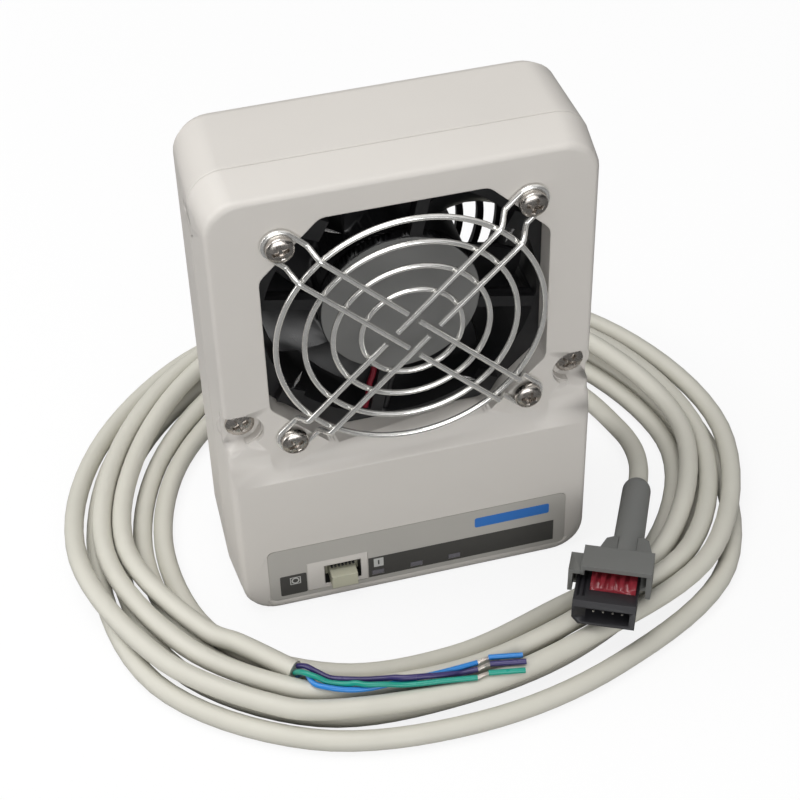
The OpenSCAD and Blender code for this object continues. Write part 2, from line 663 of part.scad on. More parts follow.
// Where the cut end lies against three of the rows, each has one more point half-way.
mid_pt = [[], [], [], [[-39.5, -33.8, 6.7]], [[-36.1, -29.5, 6.45]], [[-34.3, -27.1, 2.25]], []];
function coil_pt(t, k) =
    [coil_mid[0] + turn_r[t][k] * cos(k * coil_step), coil_mid[1] + turn_r[t][k] * sin(k * coil_step),
     turn_z[t][k]];

// A point of the plug's own space, and the boot's axis at distance s, in the case's space.
function plug_to_case(p) =
    let (b = [p[0], p[1] * cos(plug_tilt) + p[2] * sin(plug_tilt),
              p[2] * cos(plug_tilt) - p[1] * sin(plug_tilt)])
    [plug_tip[0] + b[0] * cos(plug_turn) - b[1] * sin(plug_turn),
     plug_tip[1] + b[0] * sin(plug_turn) + b[1] * cos(plug_turn), plug_tip[2] + b[2]];
function boot_pt(s) = plug_to_case(boot_at + [0, s, 0]);
cable_route = concat(
    [boot_pt(17), boot_pt(23), boot_pt(30)], lead_in,
    [for (t = [0 : len(turn_r) - 1], k = [t == 0 ? 1 : 0 : len(turn_r[t]) - 1])
        each concat([coil_pt(t, k)], k == 7 ? mid_pt[t] : [])],
    [[-43.0, -15.6, 6.5], jacket_end]);

// A tube of round section swept along a list of points.
function unit(v) = v / norm(v);
function tangent(p, i) = unit(p[min(i + 1, len(p) - 1)] - p[max(i - 1, 0)]);
function side_of(t) = unit(cross(t, [0, 0, 1]));
function tube_ring(p, i, r, n) =
    let (t = tangent(p, i), a = side_of(t), b = cross(a, t))
    [for (j = [0 : n - 1]) p[i] + r * (cos(360 * j / n) * a + sin(360 * j / n) * b)];
module tube(p, d, n = 8) {
    m = len(p);
    polyhedron(
        points = [for (i = [0 : m - 1]) each tube_ring(p, i, d / 2, n)],
        faces = concat(
            [[for (j = [n - 1 : -1 : 0]) j]],
            [[for (j = [0 : n - 1]) (m - 1) * n + j]],
            [for (i = [0 : m - 2], j = [0 : n - 1])
                let (a = i * n + j, b = i * n + (j + 1) % n)
                each [[a, b + n, a + n], [a, b, b + n]]]));
}

module cable() color("#b9b6ab") seat() tube(cable_route, cable_d);

// The three cores leave the cut jacket, run over the loops and end in bared strands,
// each with the cut-off slug of its insulation still on the tip.
core_routes = [
    [[-32.7, -26.6, 5.2], [-31.4, -28.1, 7.4], [-31, -29.6, 8.6], [-30.9, -31, 9.2], [-30.1, -33.2, 9.3],
     [-27.7, -34.8, 9.3], [-24, -36.1, 8.9], [-20, -36.7, 8.6], [-12, -36.9, 8.8], [-4, -36.9, 8.8],
     [3.8, -36.4, 8.7]],
    [[-32.3, -26.1, 7.6], [-30.9, -27.6, 8.8], [-29.2, -29.9, 9.3], [-26.8, -32.2, 9.1], [-23.2, -33.8, 9.3],
     [-19.5, -34.8, 9.2], [-15.8, -35.7, 9.4], [-14, -36.5, 10], [-12, -37.3, 10.2], [-8.3, -37.8, 10],
     [-4.5, -38.1, 9.5], [-2, -38.1, 9], [-0.3, -37.9, 8.4], [3.4, -38.3, 8.9]],
    [[-33.2, -27.2, 6.9], [-32.8, -28.5, 8.6], [-31.8, -30.5, 10.4], [-29.6, -32.3, 10.4], [-27.2, -33.6, 9.4],
     [-23.8, -34.9, 9.3], [-22, -35.6, 9.8], [-20.2, -36.6, 9.9], [-16.5, -37.5, 9.8], [-12.7, -38.2, 9.2],
     [-8.9, -38.9, 9.2], [-5, -39.4, 9.2], [2.6, -40.5, 9.1]]];
slugs = [[[6.4, -35.8, 8.9], [13.4, -37.3, 9.1]],
         [[6.2, -37.6, 8.9], [13.6, -39.2, 9.2]],
         [[5.2, -39.9, 9.1], [12.8, -41.0, 8.7]]];

module core(i, tint) color(tint) seat() {
    tube(core_routes[i], core_d);
    rod(slugs[i][0], slugs[i][1], core_d);
}
module core_blue() core(0, "#1f74b8");
module core_navy() core(1, "#2b2a52");
module core_teal() core(2, "#12806f");
module bare_strands() color("#d9cfc4") seat()
    for (i = [0 : 2]) {
        a = core_routes[i][len(core_routes[i]) - 1];
        b = slugs[i][0];
        rod(a + (b - a) * 0.1, b - (b - a) * 0.1, 0.8);
    }

front_cover();
rear_cover();
rear_grille();
finger_guard();
guard_screws();
case_screws();
front_label();
indicator_lenses();
indicator_leds();
switch_body();
switch_slider();
control_board();
board_screws();
high_voltage_module();
power_receptacle();
receptacle_pins();
needle_holders();
emitter_needles();
needle_leads();
fan_frame();
fan_impeller();
rotor_yoke();
rotor_magnet();
rotor_shaft();
front_bearing();
rear_bearing();
shaft_circlip();
fan_stator();
stator_windings();
motor_board();
motor_disc();
fan_leads();
cable();
cable_boot();
plug_hood();
plug_body();
plug_window();
plug_contacts();
core_blue();
core_navy();
core_teal();
bare_strands();
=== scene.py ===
"""A compact fan ionising blower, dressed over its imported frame."""
import json
import math

import bmesh
import bpy
from mathutils import Matrix, Vector


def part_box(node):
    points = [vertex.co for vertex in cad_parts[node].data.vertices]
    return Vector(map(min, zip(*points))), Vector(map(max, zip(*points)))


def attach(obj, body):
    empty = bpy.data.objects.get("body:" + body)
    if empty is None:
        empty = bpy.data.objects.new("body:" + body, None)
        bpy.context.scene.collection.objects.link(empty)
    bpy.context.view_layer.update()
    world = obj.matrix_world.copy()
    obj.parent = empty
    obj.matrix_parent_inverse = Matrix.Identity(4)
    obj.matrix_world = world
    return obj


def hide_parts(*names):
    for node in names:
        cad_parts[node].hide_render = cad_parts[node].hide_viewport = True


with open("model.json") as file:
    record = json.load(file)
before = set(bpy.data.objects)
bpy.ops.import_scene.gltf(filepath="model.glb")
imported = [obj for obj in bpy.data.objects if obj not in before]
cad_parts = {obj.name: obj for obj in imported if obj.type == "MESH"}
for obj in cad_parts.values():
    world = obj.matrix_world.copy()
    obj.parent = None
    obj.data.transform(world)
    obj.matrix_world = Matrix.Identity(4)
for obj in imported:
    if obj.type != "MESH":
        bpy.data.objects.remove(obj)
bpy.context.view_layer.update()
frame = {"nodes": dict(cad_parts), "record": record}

bl_info = {
    "name": "Fan ioniser",
    "version": (1, 0, 0),
    "blender": (4, 5, 0),
    "location": "3D View > Sidebar > Ioniser",
    "description": "Builds a compact fan ionising blower and its power cable",
    "category": "Object",
}

# Sizes in millimetres; places are given from the middle of the upper panel's foot.
MM = 0.001
CASE_DEPTH = 32.0
HALF_W = 40.0
FAN_Z = 73.3
STEP_OUT = 2.5
SWITCH_X = -16.8
PANEL_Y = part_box("rear_cover")[1].y - CASE_DEPTH * MM
NODES = frame["nodes"]


def at(x, y, z):
    """A point given in millimetres from the middle of the upper panel's foot."""
    return Vector((x * MM, PANEL_Y + y * MM, z * MM))


# ---- finishes


def map_range(nodes, start, end, low, high):
    """A node that spreads a value between two numbers."""
    node = nodes.new("ShaderNodeMapRange")
    for key, value in (("From Min", start), ("From Max", end), ("To Min", low), ("To Max", high)):
        node.inputs[key].default_value = value
    return node


class Finish:
    """A material's node tree while it is being built."""

    def __init__(self, name):
        self.material = bpy.data.materials.new(name)
        self.material.use_nodes = True
        self.nodes = self.material.node_tree.nodes
        self.links = self.material.node_tree.links
        self.shader = self.nodes["Principled BSDF"]
        self.coords = self.nodes.new("ShaderNodeTexCoord")
        self.normal = None

    def set(self, **values):
        """Plain values on the shader's inputs."""
        for key, value in values.items():
            self.shader.inputs[key.replace("_", " ")].default_value = value
        return self

    def noise(self, size, detail=2.0, stretch=(1, 1, 1), roughness=0.5):
        """Noise with blobs of about this size, in metres."""
        mapping = self.nodes.new("ShaderNodeMapping")
        mapping.inputs["Scale"].default_value = stretch
        texture = self.nodes.new("ShaderNodeTexNoise")
        texture.inputs["Scale"].default_value = 1 / size
        texture.inputs["Detail"].default_value = detail
        texture.inputs["Roughness"].default_value = roughness
        self.links.new(self.coords.outputs["Object"], mapping.inputs["Vector"])
        self.links.new(mapping.outputs["Vector"], texture.inputs["Vector"])
        return texture.outputs["Fac"]

    def ramp(self, value, low, high, start=0.3, end=0.7):
        """The value spread between two numbers."""
        node = map_range(self.nodes, start, end, low, high)
        self.links.new(value, node.inputs["Value"])
        return node.outputs["Result"]

    def blend(self, factor, first, second):
        """A colour between two colours or sockets."""
        node = self.nodes.new("ShaderNodeMix")
        node.data_type = "RGBA"
        for value, socket in ((factor, node.inputs[0]), (first, node.inputs[6]), (second, node.inputs[7])):
            if isinstance(value, bpy.types.NodeSocket):
                self.links.new(value, socket)
            elif isinstance(value, (int, float)):
                socket.default_value = value
            else:
                socket.default_value = (*value, 1)
        return node.outputs[2]

    def bump(self, height, depth, strength=1.0):
        """Relief of this depth in metres, over what is there already."""
        node = self.nodes.new("ShaderNodeBump")
        node.inputs["Strength"].default_value = strength
        node.inputs["Distance"].default_value = depth
        self.links.new(height, node.inputs["Height"])
        if self.normal:
            self.links.new(self.normal, node.inputs["Normal"])
        self.normal = node.outputs["Normal"]
        self.links.new(self.normal, self.shader.inputs["Normal"])
        return self

    def soften(self, radius):
        """Edges rounded to this radius in metres."""
        node = self.nodes.new("ShaderNodeBevel")
        node.samples = 6
        node.inputs["Radius"].default_value = radius
        self.normal = node.outputs["Normal"]
        self.links.new(self.normal, self.shader.inputs["Normal"])
        return self

    def drive(self, socket, value):
        """A node's output on one of the shader's inputs."""
        self.links.new(value, self.shader.inputs[socket])
        return self


def moulded(name, colour, rough=0.5, tone=0.03, grain=0.0003, depth=4e-6, tone_size=0.02, coat=0.0, edge=0.0):
    """Moulded plastic or rubber: a faint mottling and a fine spark-eroded grain."""
    f = Finish(name)
    if edge:
        f.soften(edge)
    blobs = f.noise(tone_size, 3)
    dark = [c * (1 - tone) for c in colour]
    light = [min(1, c * (1 + tone)) for c in colour]
    f.drive("Base Color", f.blend(f.ramp(blobs, 0, 1), dark, light))
    f.drive("Roughness", f.ramp(f.noise(tone_size * 0.4, 3), rough - 0.04, rough + 0.05))
    f.bump(f.noise(grain, 2), depth)
    f.set(Coat_Weight=coat)
    return f.material


def metal(name, colour, rough=0.2, scratch=3e-6, stretch=(1, 1, 1), size=0.0004, metallic=1.0):
    """Bright metal with fine drawing marks."""
    f = Finish(name)
    f.set(Metallic=metallic)
    f.drive("Base Color", f.blend(f.ramp(f.noise(0.003, 3), 0, 1), [c * 0.86 for c in colour], colour))
    f.drive("Roughness", f.ramp(f.noise(size * 2, 4, stretch), rough * 0.7, rough * 1.4))
    f.bump(f.noise(size, 3, stretch), scratch)
    return f.material


def clear(name, colour, rough=0.08, through=0.85, ior=1.49):
    """Tinted clear plastic."""
    f = Finish(name)
    f.drive("Base Color", f.blend(f.ramp(f.noise(0.002, 2), 0, 1), [c * 0.9 for c in colour], colour))
    f.drive("Roughness", f.ramp(f.noise(0.0015, 2), rough * 0.8, rough * 1.3))
    f.set(Transmission_Weight=through, IOR=ior)
    return f.material


FINISHES = {}


def make_finishes(colours):
    """Every finish, by the name that the pieces ask for."""
    FINISHES.update(
        housing=moulded(
            "housing_plastic", colours.housing[:3], 0.46, 0.012, 0.00035, 5e-6, 0.03, edge=0.0004
        ),
        black=moulded("black_plastic", colours.fan[:3], 0.38, 0.1, 0.0004, 5e-6),
        plug_black=moulded("plug_plastic", (0.011, 0.0105, 0.013), 0.5, 0.08, 0.0005, 3e-6, edge=0.00015),
        black_gloss=moulded("black_gloss_plastic", colours.fan[:3], 0.3, 0.1, 0.0006, 2e-6),
        cable=moulded("cable_jacket", colours.cable[:3], 0.5, 0.025, 0.0006, 6e-6, 0.012),
        boot=moulded("boot_rubber", (0.17, 0.172, 0.165), 0.62, 0.05, 0.0003, 6e-6),
        hood=moulded("hood_plastic", (0.14, 0.142, 0.135), 0.5, 0.04, 0.0003, 6e-6, edge=0.0002),
        core_blue=moulded("blue_insulation", (0.02, 0.2, 0.56), 0.3, 0.06, 0.0005, 3e-6),
        core_navy=moulded("navy_insulation", (0.035, 0.025, 0.12), 0.3, 0.1, 0.0005, 3e-6),
        core_teal=moulded("teal_insulation", (0.005, 0.27, 0.2), 0.3, 0.08, 0.0005, 3e-6),
        lead_red=moulded("red_insulation", (0.16, 0.006, 0.016), 0.3, 0.1, 0.0005, 3e-6),
        # painted shade: the grey of the plates that darken the side slots' floors
        grey=moulded("grey_plastic", (0.16, 0.16, 0.15), 0.4, 0.02, 0.0004, 3e-6),
        ivory=moulded("ivory_plastic", (0.5, 0.49, 0.38), 0.35, 0.02, 0.0004, 3e-6, edge=0.0003),
        film=moulded("label_film", colours.label[:3], 0.4, 0.015, 0.0002, 2e-6),
        film_dark=moulded("dark_print", (0.062, 0.06, 0.055), 0.42, 0.03, 0.0002, 2e-6),
        film_blue=moulded("blue_print", (0.03, 0.16, 0.5), 0.42, 0.03, 0.0002, 2e-6),
        film_pale=moulded("pale_print", (0.5, 0.5, 0.48), 0.42, 0.03, 0.0002, 2e-6),
        disc=moulded("disc_film", (0.17, 0.17, 0.165), 0.55, 0.05, 0.0003, 4e-6),
        board=moulded("circuit_board", (0.03, 0.16, 0.07), 0.3, 0.1, 0.001, 1e-5),
        potting=moulded("potting", (0.02, 0.02, 0.022), 0.3, 0.1, 0.001, 1e-5),
        ferrite=moulded("ferrite", (0.05, 0.05, 0.055), 0.6, 0.1),
        copper=metal("copper_wire", (0.6, 0.22, 0.1), 0.3),
        steel=metal("bright_wire", (0.96, 0.95, 0.92), 0.12, 1e-7, size=0.003, metallic=0.74),
        screw=metal("screw_plate", (0.64, 0.6, 0.56), 0.24, 2e-6),
        needle=metal("needle_steel", (0.75, 0.75, 0.76), 0.15, 1e-6),
        strand=metal("tinned_strand", (0.80, 0.74, 0.68), 0.3, 2e-6),
        contact=metal("plated_contact", (0.75, 0.72, 0.66), 0.25, 2e-6),
        red_clear=clear("red_clear", (0.34, 0.035, 0.05), 0.12, 0.35),
        lens=moulded("smoked_lens", (0.15, 0.145, 0.16), 0.15, 0.05, 0.0006, 2e-6),
    )


# ---- mesh helpers


def new_piece(name, data, finish=None):
    """An object at the origin, linked to the scene."""
    obj = bpy.data.objects.new(name, data)
    bpy.context.scene.collection.objects.link(obj)
    if finish:
        obj.data.materials.clear()
        obj.data.materials.append(FINISHES[finish])
    return obj


def mesh_from(name, verts, faces, finish=None, sharp=30.0):
    """A smooth shaded mesh piece."""
    mesh = bpy.data.meshes.new(name)
    mesh.from_pydata([tuple(v) for v in verts], [], faces)
    mesh.validate()
    shade(mesh, sharp)
    return new_piece(name, mesh, finish)


def shade(mesh, sharp=30.0):
    """Smooth shading, with edges past this many degrees left sharp."""
    mesh.shade_smooth()
    mesh.set_sharp_from_angle(angle=math.radians(sharp))


def bm_piece(name, bm, finish=None, sharp=30.0):
    """A piece from a bmesh, which is freed."""
    mesh = bpy.data.meshes.new(name)
    bm.to_mesh(mesh)
    bm.free()
    shade(mesh, sharp)
    return new_piece(name, mesh, finish)


def add_sheet(bm, outline, shift):
    """A flat outline in the bmesh, given thickness by this shift."""
    face = bm.faces.new([bm.verts.new(p) for p in outline])
    made = bmesh.ops.extrude_face_region(bm, geom=[face])["geom"]
    moved = [v for v in made if isinstance(v, bmesh.types.BMVert)]
    bmesh.ops.translate(bm, verts=moved, vec=shift)


def applied(obj):
    """The object's modifiers turned into its plain mesh."""
    depsgraph = bpy.context.evaluated_depsgraph_get()
    mesh = bpy.data.meshes.new_from_object(obj.evaluated_get(depsgraph), depsgraph=depsgraph)
    old = obj.data
    if obj.type != "MESH":
        name, materials = obj.name, list(obj.data.materials)
        bpy.data.objects.remove(obj)
        obj = new_piece(name, mesh)
        obj.name = name
        if not mesh.materials:
            for m in materials:
                mesh.materials.append(m)
        return obj
    obj.modifiers.clear()
    obj.data = mesh
    bpy.data.meshes.remove(old)
    return obj


def dressed_copy(node, name, finish, sharp=30.0, turn=None):
    """A CAD node's own shape with its loose faces joined, standing for the node."""
    bm = bmesh.new()
    bm.from_mesh(NODES[node].data)
    if turn:
        bm.transform(turn)
        if turn.is_negative:
            bmesh.ops.reverse_faces(bm, faces=bm.faces)
    bmesh.ops.remove_doubles(bm, verts=bm.verts, dist=2e-6)
    bmesh.ops.dissolve_degenerate(bm, dist=1e-7, edges=bm.edges)
    obj = bm_piece(name, bm, finish, sharp)
    weights = obj.modifiers.new("weights", "WEIGHTED_NORMAL")
    weights.weight = 100
    weights.keep_sharp = True
    obj = applied(obj)
    seat(obj, node)
    return obj


def seat(obj, *nodes):
    """Rides the piece on its first node's body, in place of the nodes."""
    record = frame["record"]
    bodies = record["behaviour"]["bodies"]
    body = next(b for b, names in bodies.items() if nodes[0] in names)
    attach(obj, body)
    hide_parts(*nodes)
    return obj


def beside(obj, body="case"):
    """Rides a piece that stands for no CAD node on a body."""
    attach(obj, body)
    return obj


def paint(node, finish):
    """A finish on a CAD node that keeps its own shape."""
    mesh = NODES[node].data
    mesh.materials.clear()
    mesh.materials.append(FINISHES[finish])


def smooth_path(points, steps):
    """A smooth line through the points, with this many steps between each two."""
    pts = [Vector(p) for p in points]
    pts = [pts[0] * 2 - pts[1], *pts, pts[-1] * 2 - pts[-2]]
    out = []
    for i in range(1, len(pts) - 2):
        a, b, c, d = pts[i - 1 : i + 3]
        t1 = math.sqrt((b - a).length)
        t2 = t1 + math.sqrt((c - b).length)
        t3 = t2 + math.sqrt((d - c).length)
        for k in range(steps):
            t = t1 + (t2 - t1) * k / steps
            first = a.lerp(b, t / t1)
            middle = b.lerp(c, (t - t1) / (t2 - t1))
            last = c.lerp(d, (t - t2) / (t3 - t2))
            early = first.lerp(middle, t / t2)
            late = middle.lerp(last, (t - t1) / (t3 - t1))
            out.append(early.lerp(late, (t - t1) / (t2 - t1)))
    out.append(pts[-2])
    return out


def cord_curve(name, points, diameter, finish, resolution=4):
    """A round cord along the points, as a curve of one open spline."""
    cord = line_object(name, points)
    cord.data.bevel_depth = diameter / 2
    cord.data.bevel_resolution = resolution
    cord.data.use_fill_caps = True
    cord.data.splines[0].use_smooth = True
    cord.data.materials.append(FINISHES[finish])
    return cord


# ---- rules

SOCKETS = {
    float: "NodeSocketFloat",
    int: "NodeSocketInt",
    Vector: "NodeSocketVector",
    bpy.types.Material: "NodeSocketMaterial",
}


class Rule:
    """A Geometry Nodes tree while it is being built; it ends in real copies with one finish."""

    def __init__(self, name, **inputs):
        self.tree = bpy.data.node_groups.new(name, "GeometryNodeTree")
        face = self.tree.interface
        face.new_socket(name="Geometry", in_out="INPUT", socket_type="NodeSocketGeometry")
        for label, kind in inputs.items():
            face.new_socket(name=label.replace("_", " "), in_out="INPUT", socket_type=SOCKETS[kind])
        face.new_socket(name="Finish", in_out="INPUT", socket_type=SOCKETS[bpy.types.Material])
        face.new_socket(name="Geometry", in_out="OUTPUT", socket_type="NodeSocketGeometry")
        self.enter = self.tree.nodes.new("NodeGroupInput").outputs
        self.leave = self.tree.nodes.new("NodeGroupOutput").inputs

    def node(self, kind, settings=None, **inputs):
        """A node with its settings, and values or sockets on its inputs."""
        node = self.tree.nodes.new(kind)
        for key, value in (settings or {}).items():
            setattr(node, key, value)
        for key, value in inputs.items():
            socket = node.inputs[int(key[1:])] if key[0] == "_" else node.inputs[key.replace("_", " ")]
            if isinstance(value, bpy.types.NodeSocket):
                self.tree.links.new(value, socket)
            else:
                socket.default_value = value
        return node.outputs[0]

    def math(self, operation, first, second):
        """Arithmetic on two numbers."""
        return self.node("ShaderNodeMath", {"operation": operation}, _0=first, _1=second)

    def vector(self, x=0.0, y=0.0, z=0.0):
        """A vector from three numbers."""
        return self.node("ShaderNodeCombineXYZ", X=x, Y=y, Z=z)

    def vectors(self, operation, first, second):
        """Arithmetic on two vectors."""
        return self.node("ShaderNodeVectorMath", {"operation": operation}, _0=first, _1=second)

    def scaled(self, vector, factor):
        """A vector times a number."""
        return self.node("ShaderNodeVectorMath", {"operation": "SCALE"}, _0=vector, Scale=factor)

    def index(self):
        """Each copy's own number."""
        return self.node("GeometryNodeInputIndex")

    def copies(self, points, thing, rotation=None, scale=None):
        """The thing set on every point."""
        more = {"Scale": scale} if scale is not None else {}
        if rotation is not None:
            more["Rotation"] = self.node("FunctionNodeEulerToRotation", _0=rotation)
        return self.node("GeometryNodeInstanceOnPoints", Points=points, Instance=thing, **more)

    def wire(self, line, diameter, sides=16):
        """A round wire along a line."""
        radius = self.math("MULTIPLY", diameter, 0.5)
        ring = self.node("GeometryNodeCurvePrimitiveCircle", Resolution=sides, Radius=radius)
        return self.node("GeometryNodeCurveToMesh", Curve=line, Profile_Curve=ring, Fill_Caps=True)

    def end(self, geometry):
        """The finished tree, its copies made real."""
        real = self.node("GeometryNodeRealizeInstances", Geometry=geometry)
        done = self.node("GeometryNodeSetMaterial", Geometry=real, Material=self.enter["Finish"])
        self.tree.links.new(done, self.leave[0])
        return self.tree


def bent_wire_rule():
    """A wire bent along the given line, copied round the centre."""
    rule = Rule("bent_wires", Copies=int, First_angle=float, Centre=Vector, Wire_diameter=float)
    step = rule.math("DIVIDE", math.tau, rule.enter["Copies"])
    angle = rule.math("ADD", rule.math("MULTIPLY", rule.index(), step), rule.enter["First angle"])
    points = rule.node("GeometryNodePoints", Count=rule.enter["Copies"], Position=rule.enter["Centre"])
    wire = rule.wire(rule.enter["Geometry"], rule.enter["Wire diameter"])
    return rule.end(rule.copies(points, wire, rule.vector(y=angle)))


def ring_rule():
    """Wire rings about the centre, each smaller than the last by one pitch."""
    rule = Rule("wire_rings", Rings=int, Outer_radius=float, Pitch=float, Centre=Vector, Wire_diameter=float)
    shrink = rule.math("MULTIPLY", rule.index(), rule.enter["Pitch"])
    radius = rule.math("SUBTRACT", rule.enter["Outer radius"], shrink)
    points = rule.node("GeometryNodePoints", Count=rule.enter["Rings"], Position=rule.enter["Centre"])
    circle = rule.node("GeometryNodeCurvePrimitiveCircle", Resolution=128, Radius=1.0)
    rings = rule.copies(points, circle, rule.vector(x=math.pi / 2), rule.vector(radius, radius, radius))
    lines = rule.node("GeometryNodeRealizeInstances", Geometry=rings)
    return rule.end(rule.wire(lines, rule.enter["Wire diameter"]))


def row_rule():
    """Copies in a straight row."""
    rule = Rule("row", Copies=int, First=Vector, Step=Vector)
    shift = rule.scaled(rule.enter["Step"], rule.index())
    place = rule.vectors("ADD", rule.enter["First"], shift)
    points = rule.node("GeometryNodePoints", Count=rule.enter["Copies"], Position=place)
    return rule.end(rule.copies(points, rule.enter["Geometry"]))


def screw_rule():
    """Screws on a square or flat grid, each stopped at an angle of its own."""
    rule = Rule("screws", Across=int, Up=int, Pitch_across=float, Pitch_up=float, Centre=Vector, Seed=int)
    column = rule.math("MODULO", rule.index(), rule.enter["Across"])
    row = rule.math("FLOOR", rule.math("DIVIDE", rule.index(), rule.enter["Across"]), 0.0)
    half_across = rule.math("MULTIPLY", rule.math("SUBTRACT", rule.enter["Across"], 1.0), 0.5)
    half_up = rule.math("MULTIPLY", rule.math("SUBTRACT", rule.enter["Up"], 1.0), 0.5)
    x = rule.math("MULTIPLY", rule.math("SUBTRACT", column, half_across), rule.enter["Pitch across"])
    z = rule.math("MULTIPLY", rule.math("SUBTRACT", row, half_up), rule.enter["Pitch up"])
    place = rule.vectors("ADD", rule.vector(x=x, z=z), rule.enter["Centre"])
    count = rule.math("MULTIPLY", rule.enter["Across"], rule.enter["Up"])
    points = rule.node("GeometryNodePoints", Count=count, Position=place)
    chance = rule.node(
        "FunctionNodeRandomValue", {"data_type": "FLOAT"}, _2=0.0, _3=math.pi / 2, Seed=rule.enter["Seed"]
    )
    stop = rule.vector(y=chance.node.outputs[1])
    return rule.end(rule.copies(points, rule.enter["Geometry"], stop))


def strand_rule():
    """Fine wires laid side by side round a line and twisted together."""
    rule = Rule("twisted_strands", Strands=int, Bundle_radius=float, Lay=float, Wire_diameter=float)
    spread = rule.node(
        "GeometryNodeDuplicateElements", {"domain": "SPLINE"},
        Geometry=rule.enter["Geometry"], Amount=rule.enter["Strands"],
    )
    which = spread.node.outputs[1]
    turn = rule.math("DIVIDE", rule.math("MULTIPLY", which, math.tau), rule.enter["Strands"])
    along = rule.node("GeometryNodeSplineParameter").node.outputs["Length"]
    twist = rule.math("DIVIDE", rule.math("MULTIPLY", along, math.tau), rule.enter["Lay"])
    angle = rule.math("ADD", turn, twist)
    tangent = rule.node("GeometryNodeInputTangent")
    up = rule.vector(z=1.0)
    side = rule.vectors("CROSS_PRODUCT", tangent, up)
    side = rule.node("ShaderNodeVectorMath", {"operation": "NORMALIZE"}, _0=side)
    lift = rule.vectors("CROSS_PRODUCT", side, tangent)
    reach = rule.enter["Bundle radius"]
    across = rule.math("MULTIPLY", rule.math("COSINE", angle, 0.0), reach)
    above = rule.math("MULTIPLY", rule.math("SINE", angle, 0.0), reach)
    offset = rule.vectors("ADD", rule.scaled(side, across), rule.scaled(lift, above))
    moved = rule.node("GeometryNodeSetPosition", Geometry=spread, Offset=offset)
    return rule.end(rule.wire(moved, rule.enter["Wire diameter"], 8))


def grown(obj, tree, finish, **values):
    """The object put through a rule and turned into its plain mesh."""
    mod = obj.modifiers.new(tree.name, "NODES")
    mod.node_group = tree
    named = {i.name: i.identifier for i in tree.interface.items_tree if i.in_out == "INPUT"}
    mod[named["Finish"]] = FINISHES[finish]
    for key, value in values.items():
        mod[named[key.replace("_", " ")]] = value
    obj = applied(obj)
    shade(obj.data, 40)
    return obj


def line_object(name, points):
    """A bare line through the points."""
    curve = bpy.data.curves.new(name, "CURVE")
    curve.dimensions = "3D"
    spline = curve.splines.new("POLY")
    spline.points.add(len(points) - 1)
    for target, p in zip(spline.points, points):
        target.co = (*p, 1)
    return new_piece(name, curve)


def joined(name, *parts):
    """Several pieces of one finish as one."""
    bm = bmesh.new()
    for part in parts:
        bm.from_mesh(part.data)
    for face in bm.faces:
        face.material_index = 0
    obj = bm_piece(name, bm, None, 40)
    obj.data.materials.append(next(m for m in parts[0].data.materials if m))
    for part in parts:
        bpy.data.objects.remove(part)
    return obj


# ---- settings


class IoniserColours(bpy.types.PropertyGroup):
    """Colours that can be changed before the pieces are built."""

    housing: bpy.props.FloatVectorProperty(
        name="Housing", description="Colour of the two covers", subtype="COLOR", size=4,
        default=(0.60, 0.572, 0.535, 1), min=0, max=1,
    )
    fan: bpy.props.FloatVectorProperty(
        name="Fan", description="Colour of the fan and the black mouldings", subtype="COLOR", size=4,
        default=(0.012, 0.012, 0.013, 1), min=0, max=1,
    )
    label: bpy.props.FloatVectorProperty(
        name="Label", description="Ground colour of the front label", subtype="COLOR", size=4,
        default=(0.42, 0.405, 0.375, 1), min=0, max=1,
    )
    cable: bpy.props.FloatVectorProperty(
        name="Cable", description="Colour of the cable's jacket", subtype="COLOR", size=4,
        default=(0.56, 0.545, 0.48, 1), min=0, max=1,
    )


class IoniserSizes(bpy.types.PropertyGroup):
    """Sizes of the pieces that the frame leaves to the looks."""

    cable_diameter: bpy.props.FloatProperty(
        name="Cable diameter", description="Outer diameter of the cable's jacket",
        default=0.0044, min=0.003, max=0.006, unit="LENGTH",
    )
    core_diameter: bpy.props.FloatProperty(
        name="Core diameter", description="Outer diameter of each insulated core",
        default=0.0012, min=0.001, max=0.002, unit="LENGTH",
    )
    wire_diameter: bpy.props.FloatProperty(
        name="Guard wire", description="Diameter of the finger guard's wire",
        default=0.0012, min=0.001, max=0.0016, unit="LENGTH",
    )


class PieceBuilder:
    """What every operator here shares: it builds its pieces and finishes, or raises."""

    bl_options = {"REGISTER", "UNDO"}

    def execute(self, context):
        self.build(context.scene.ioniser_sizes)
        return {"FINISHED"}


# ---- camera and stage


# The camera's place in millimetres, its two directions, its lens and its framing.
CAMERA_PLACE = (-72.77, -288.03, 324.65)
CAMERA_FORWARD = (0.16257, 0.72530, -0.66896)
CAMERA_RIGHT = (0.96852, -0.24682, -0.03224)
CAMERA_LENS = 87.8
CAMERA_SHIFT = (0.0368, -0.0225)


class IONISER_OT_camera(PieceBuilder, bpy.types.Operator):
    """Places the camera: high, from the front left, with a small roll"""

    bl_idname = "ioniser.camera"
    bl_label = "Camera"

    def build(self, sizes):
        forward = Vector(CAMERA_FORWARD).normalized()
        right = Vector(CAMERA_RIGHT).normalized()
        data = bpy.data.cameras.new("camera")
        data.lens = CAMERA_LENS
        data.sensor_width = 36
        data.shift_x, data.shift_y = CAMERA_SHIFT
        data.clip_start = 0.01
        camera = bpy.data.objects.new("camera", data)
        camera.matrix_world = Matrix.Translation(at(*CAMERA_PLACE)) @ Matrix(
            (right, right.cross(forward), -forward)
        ).transposed().to_4x4()
        bpy.context.scene.collection.objects.link(camera)
        bpy.context.scene.camera = camera


# The floor's share of light thrown back, how far it is lifted to white, and the room's
# strength level with the floor and overhead.
FLOOR_BOUNCE = 0.4
FLOOR_MIRRORED = 0.12
FLOOR_LIFT = 0.86
ROOM_LOW = 0.25
ROOM_HIGH = 0.42
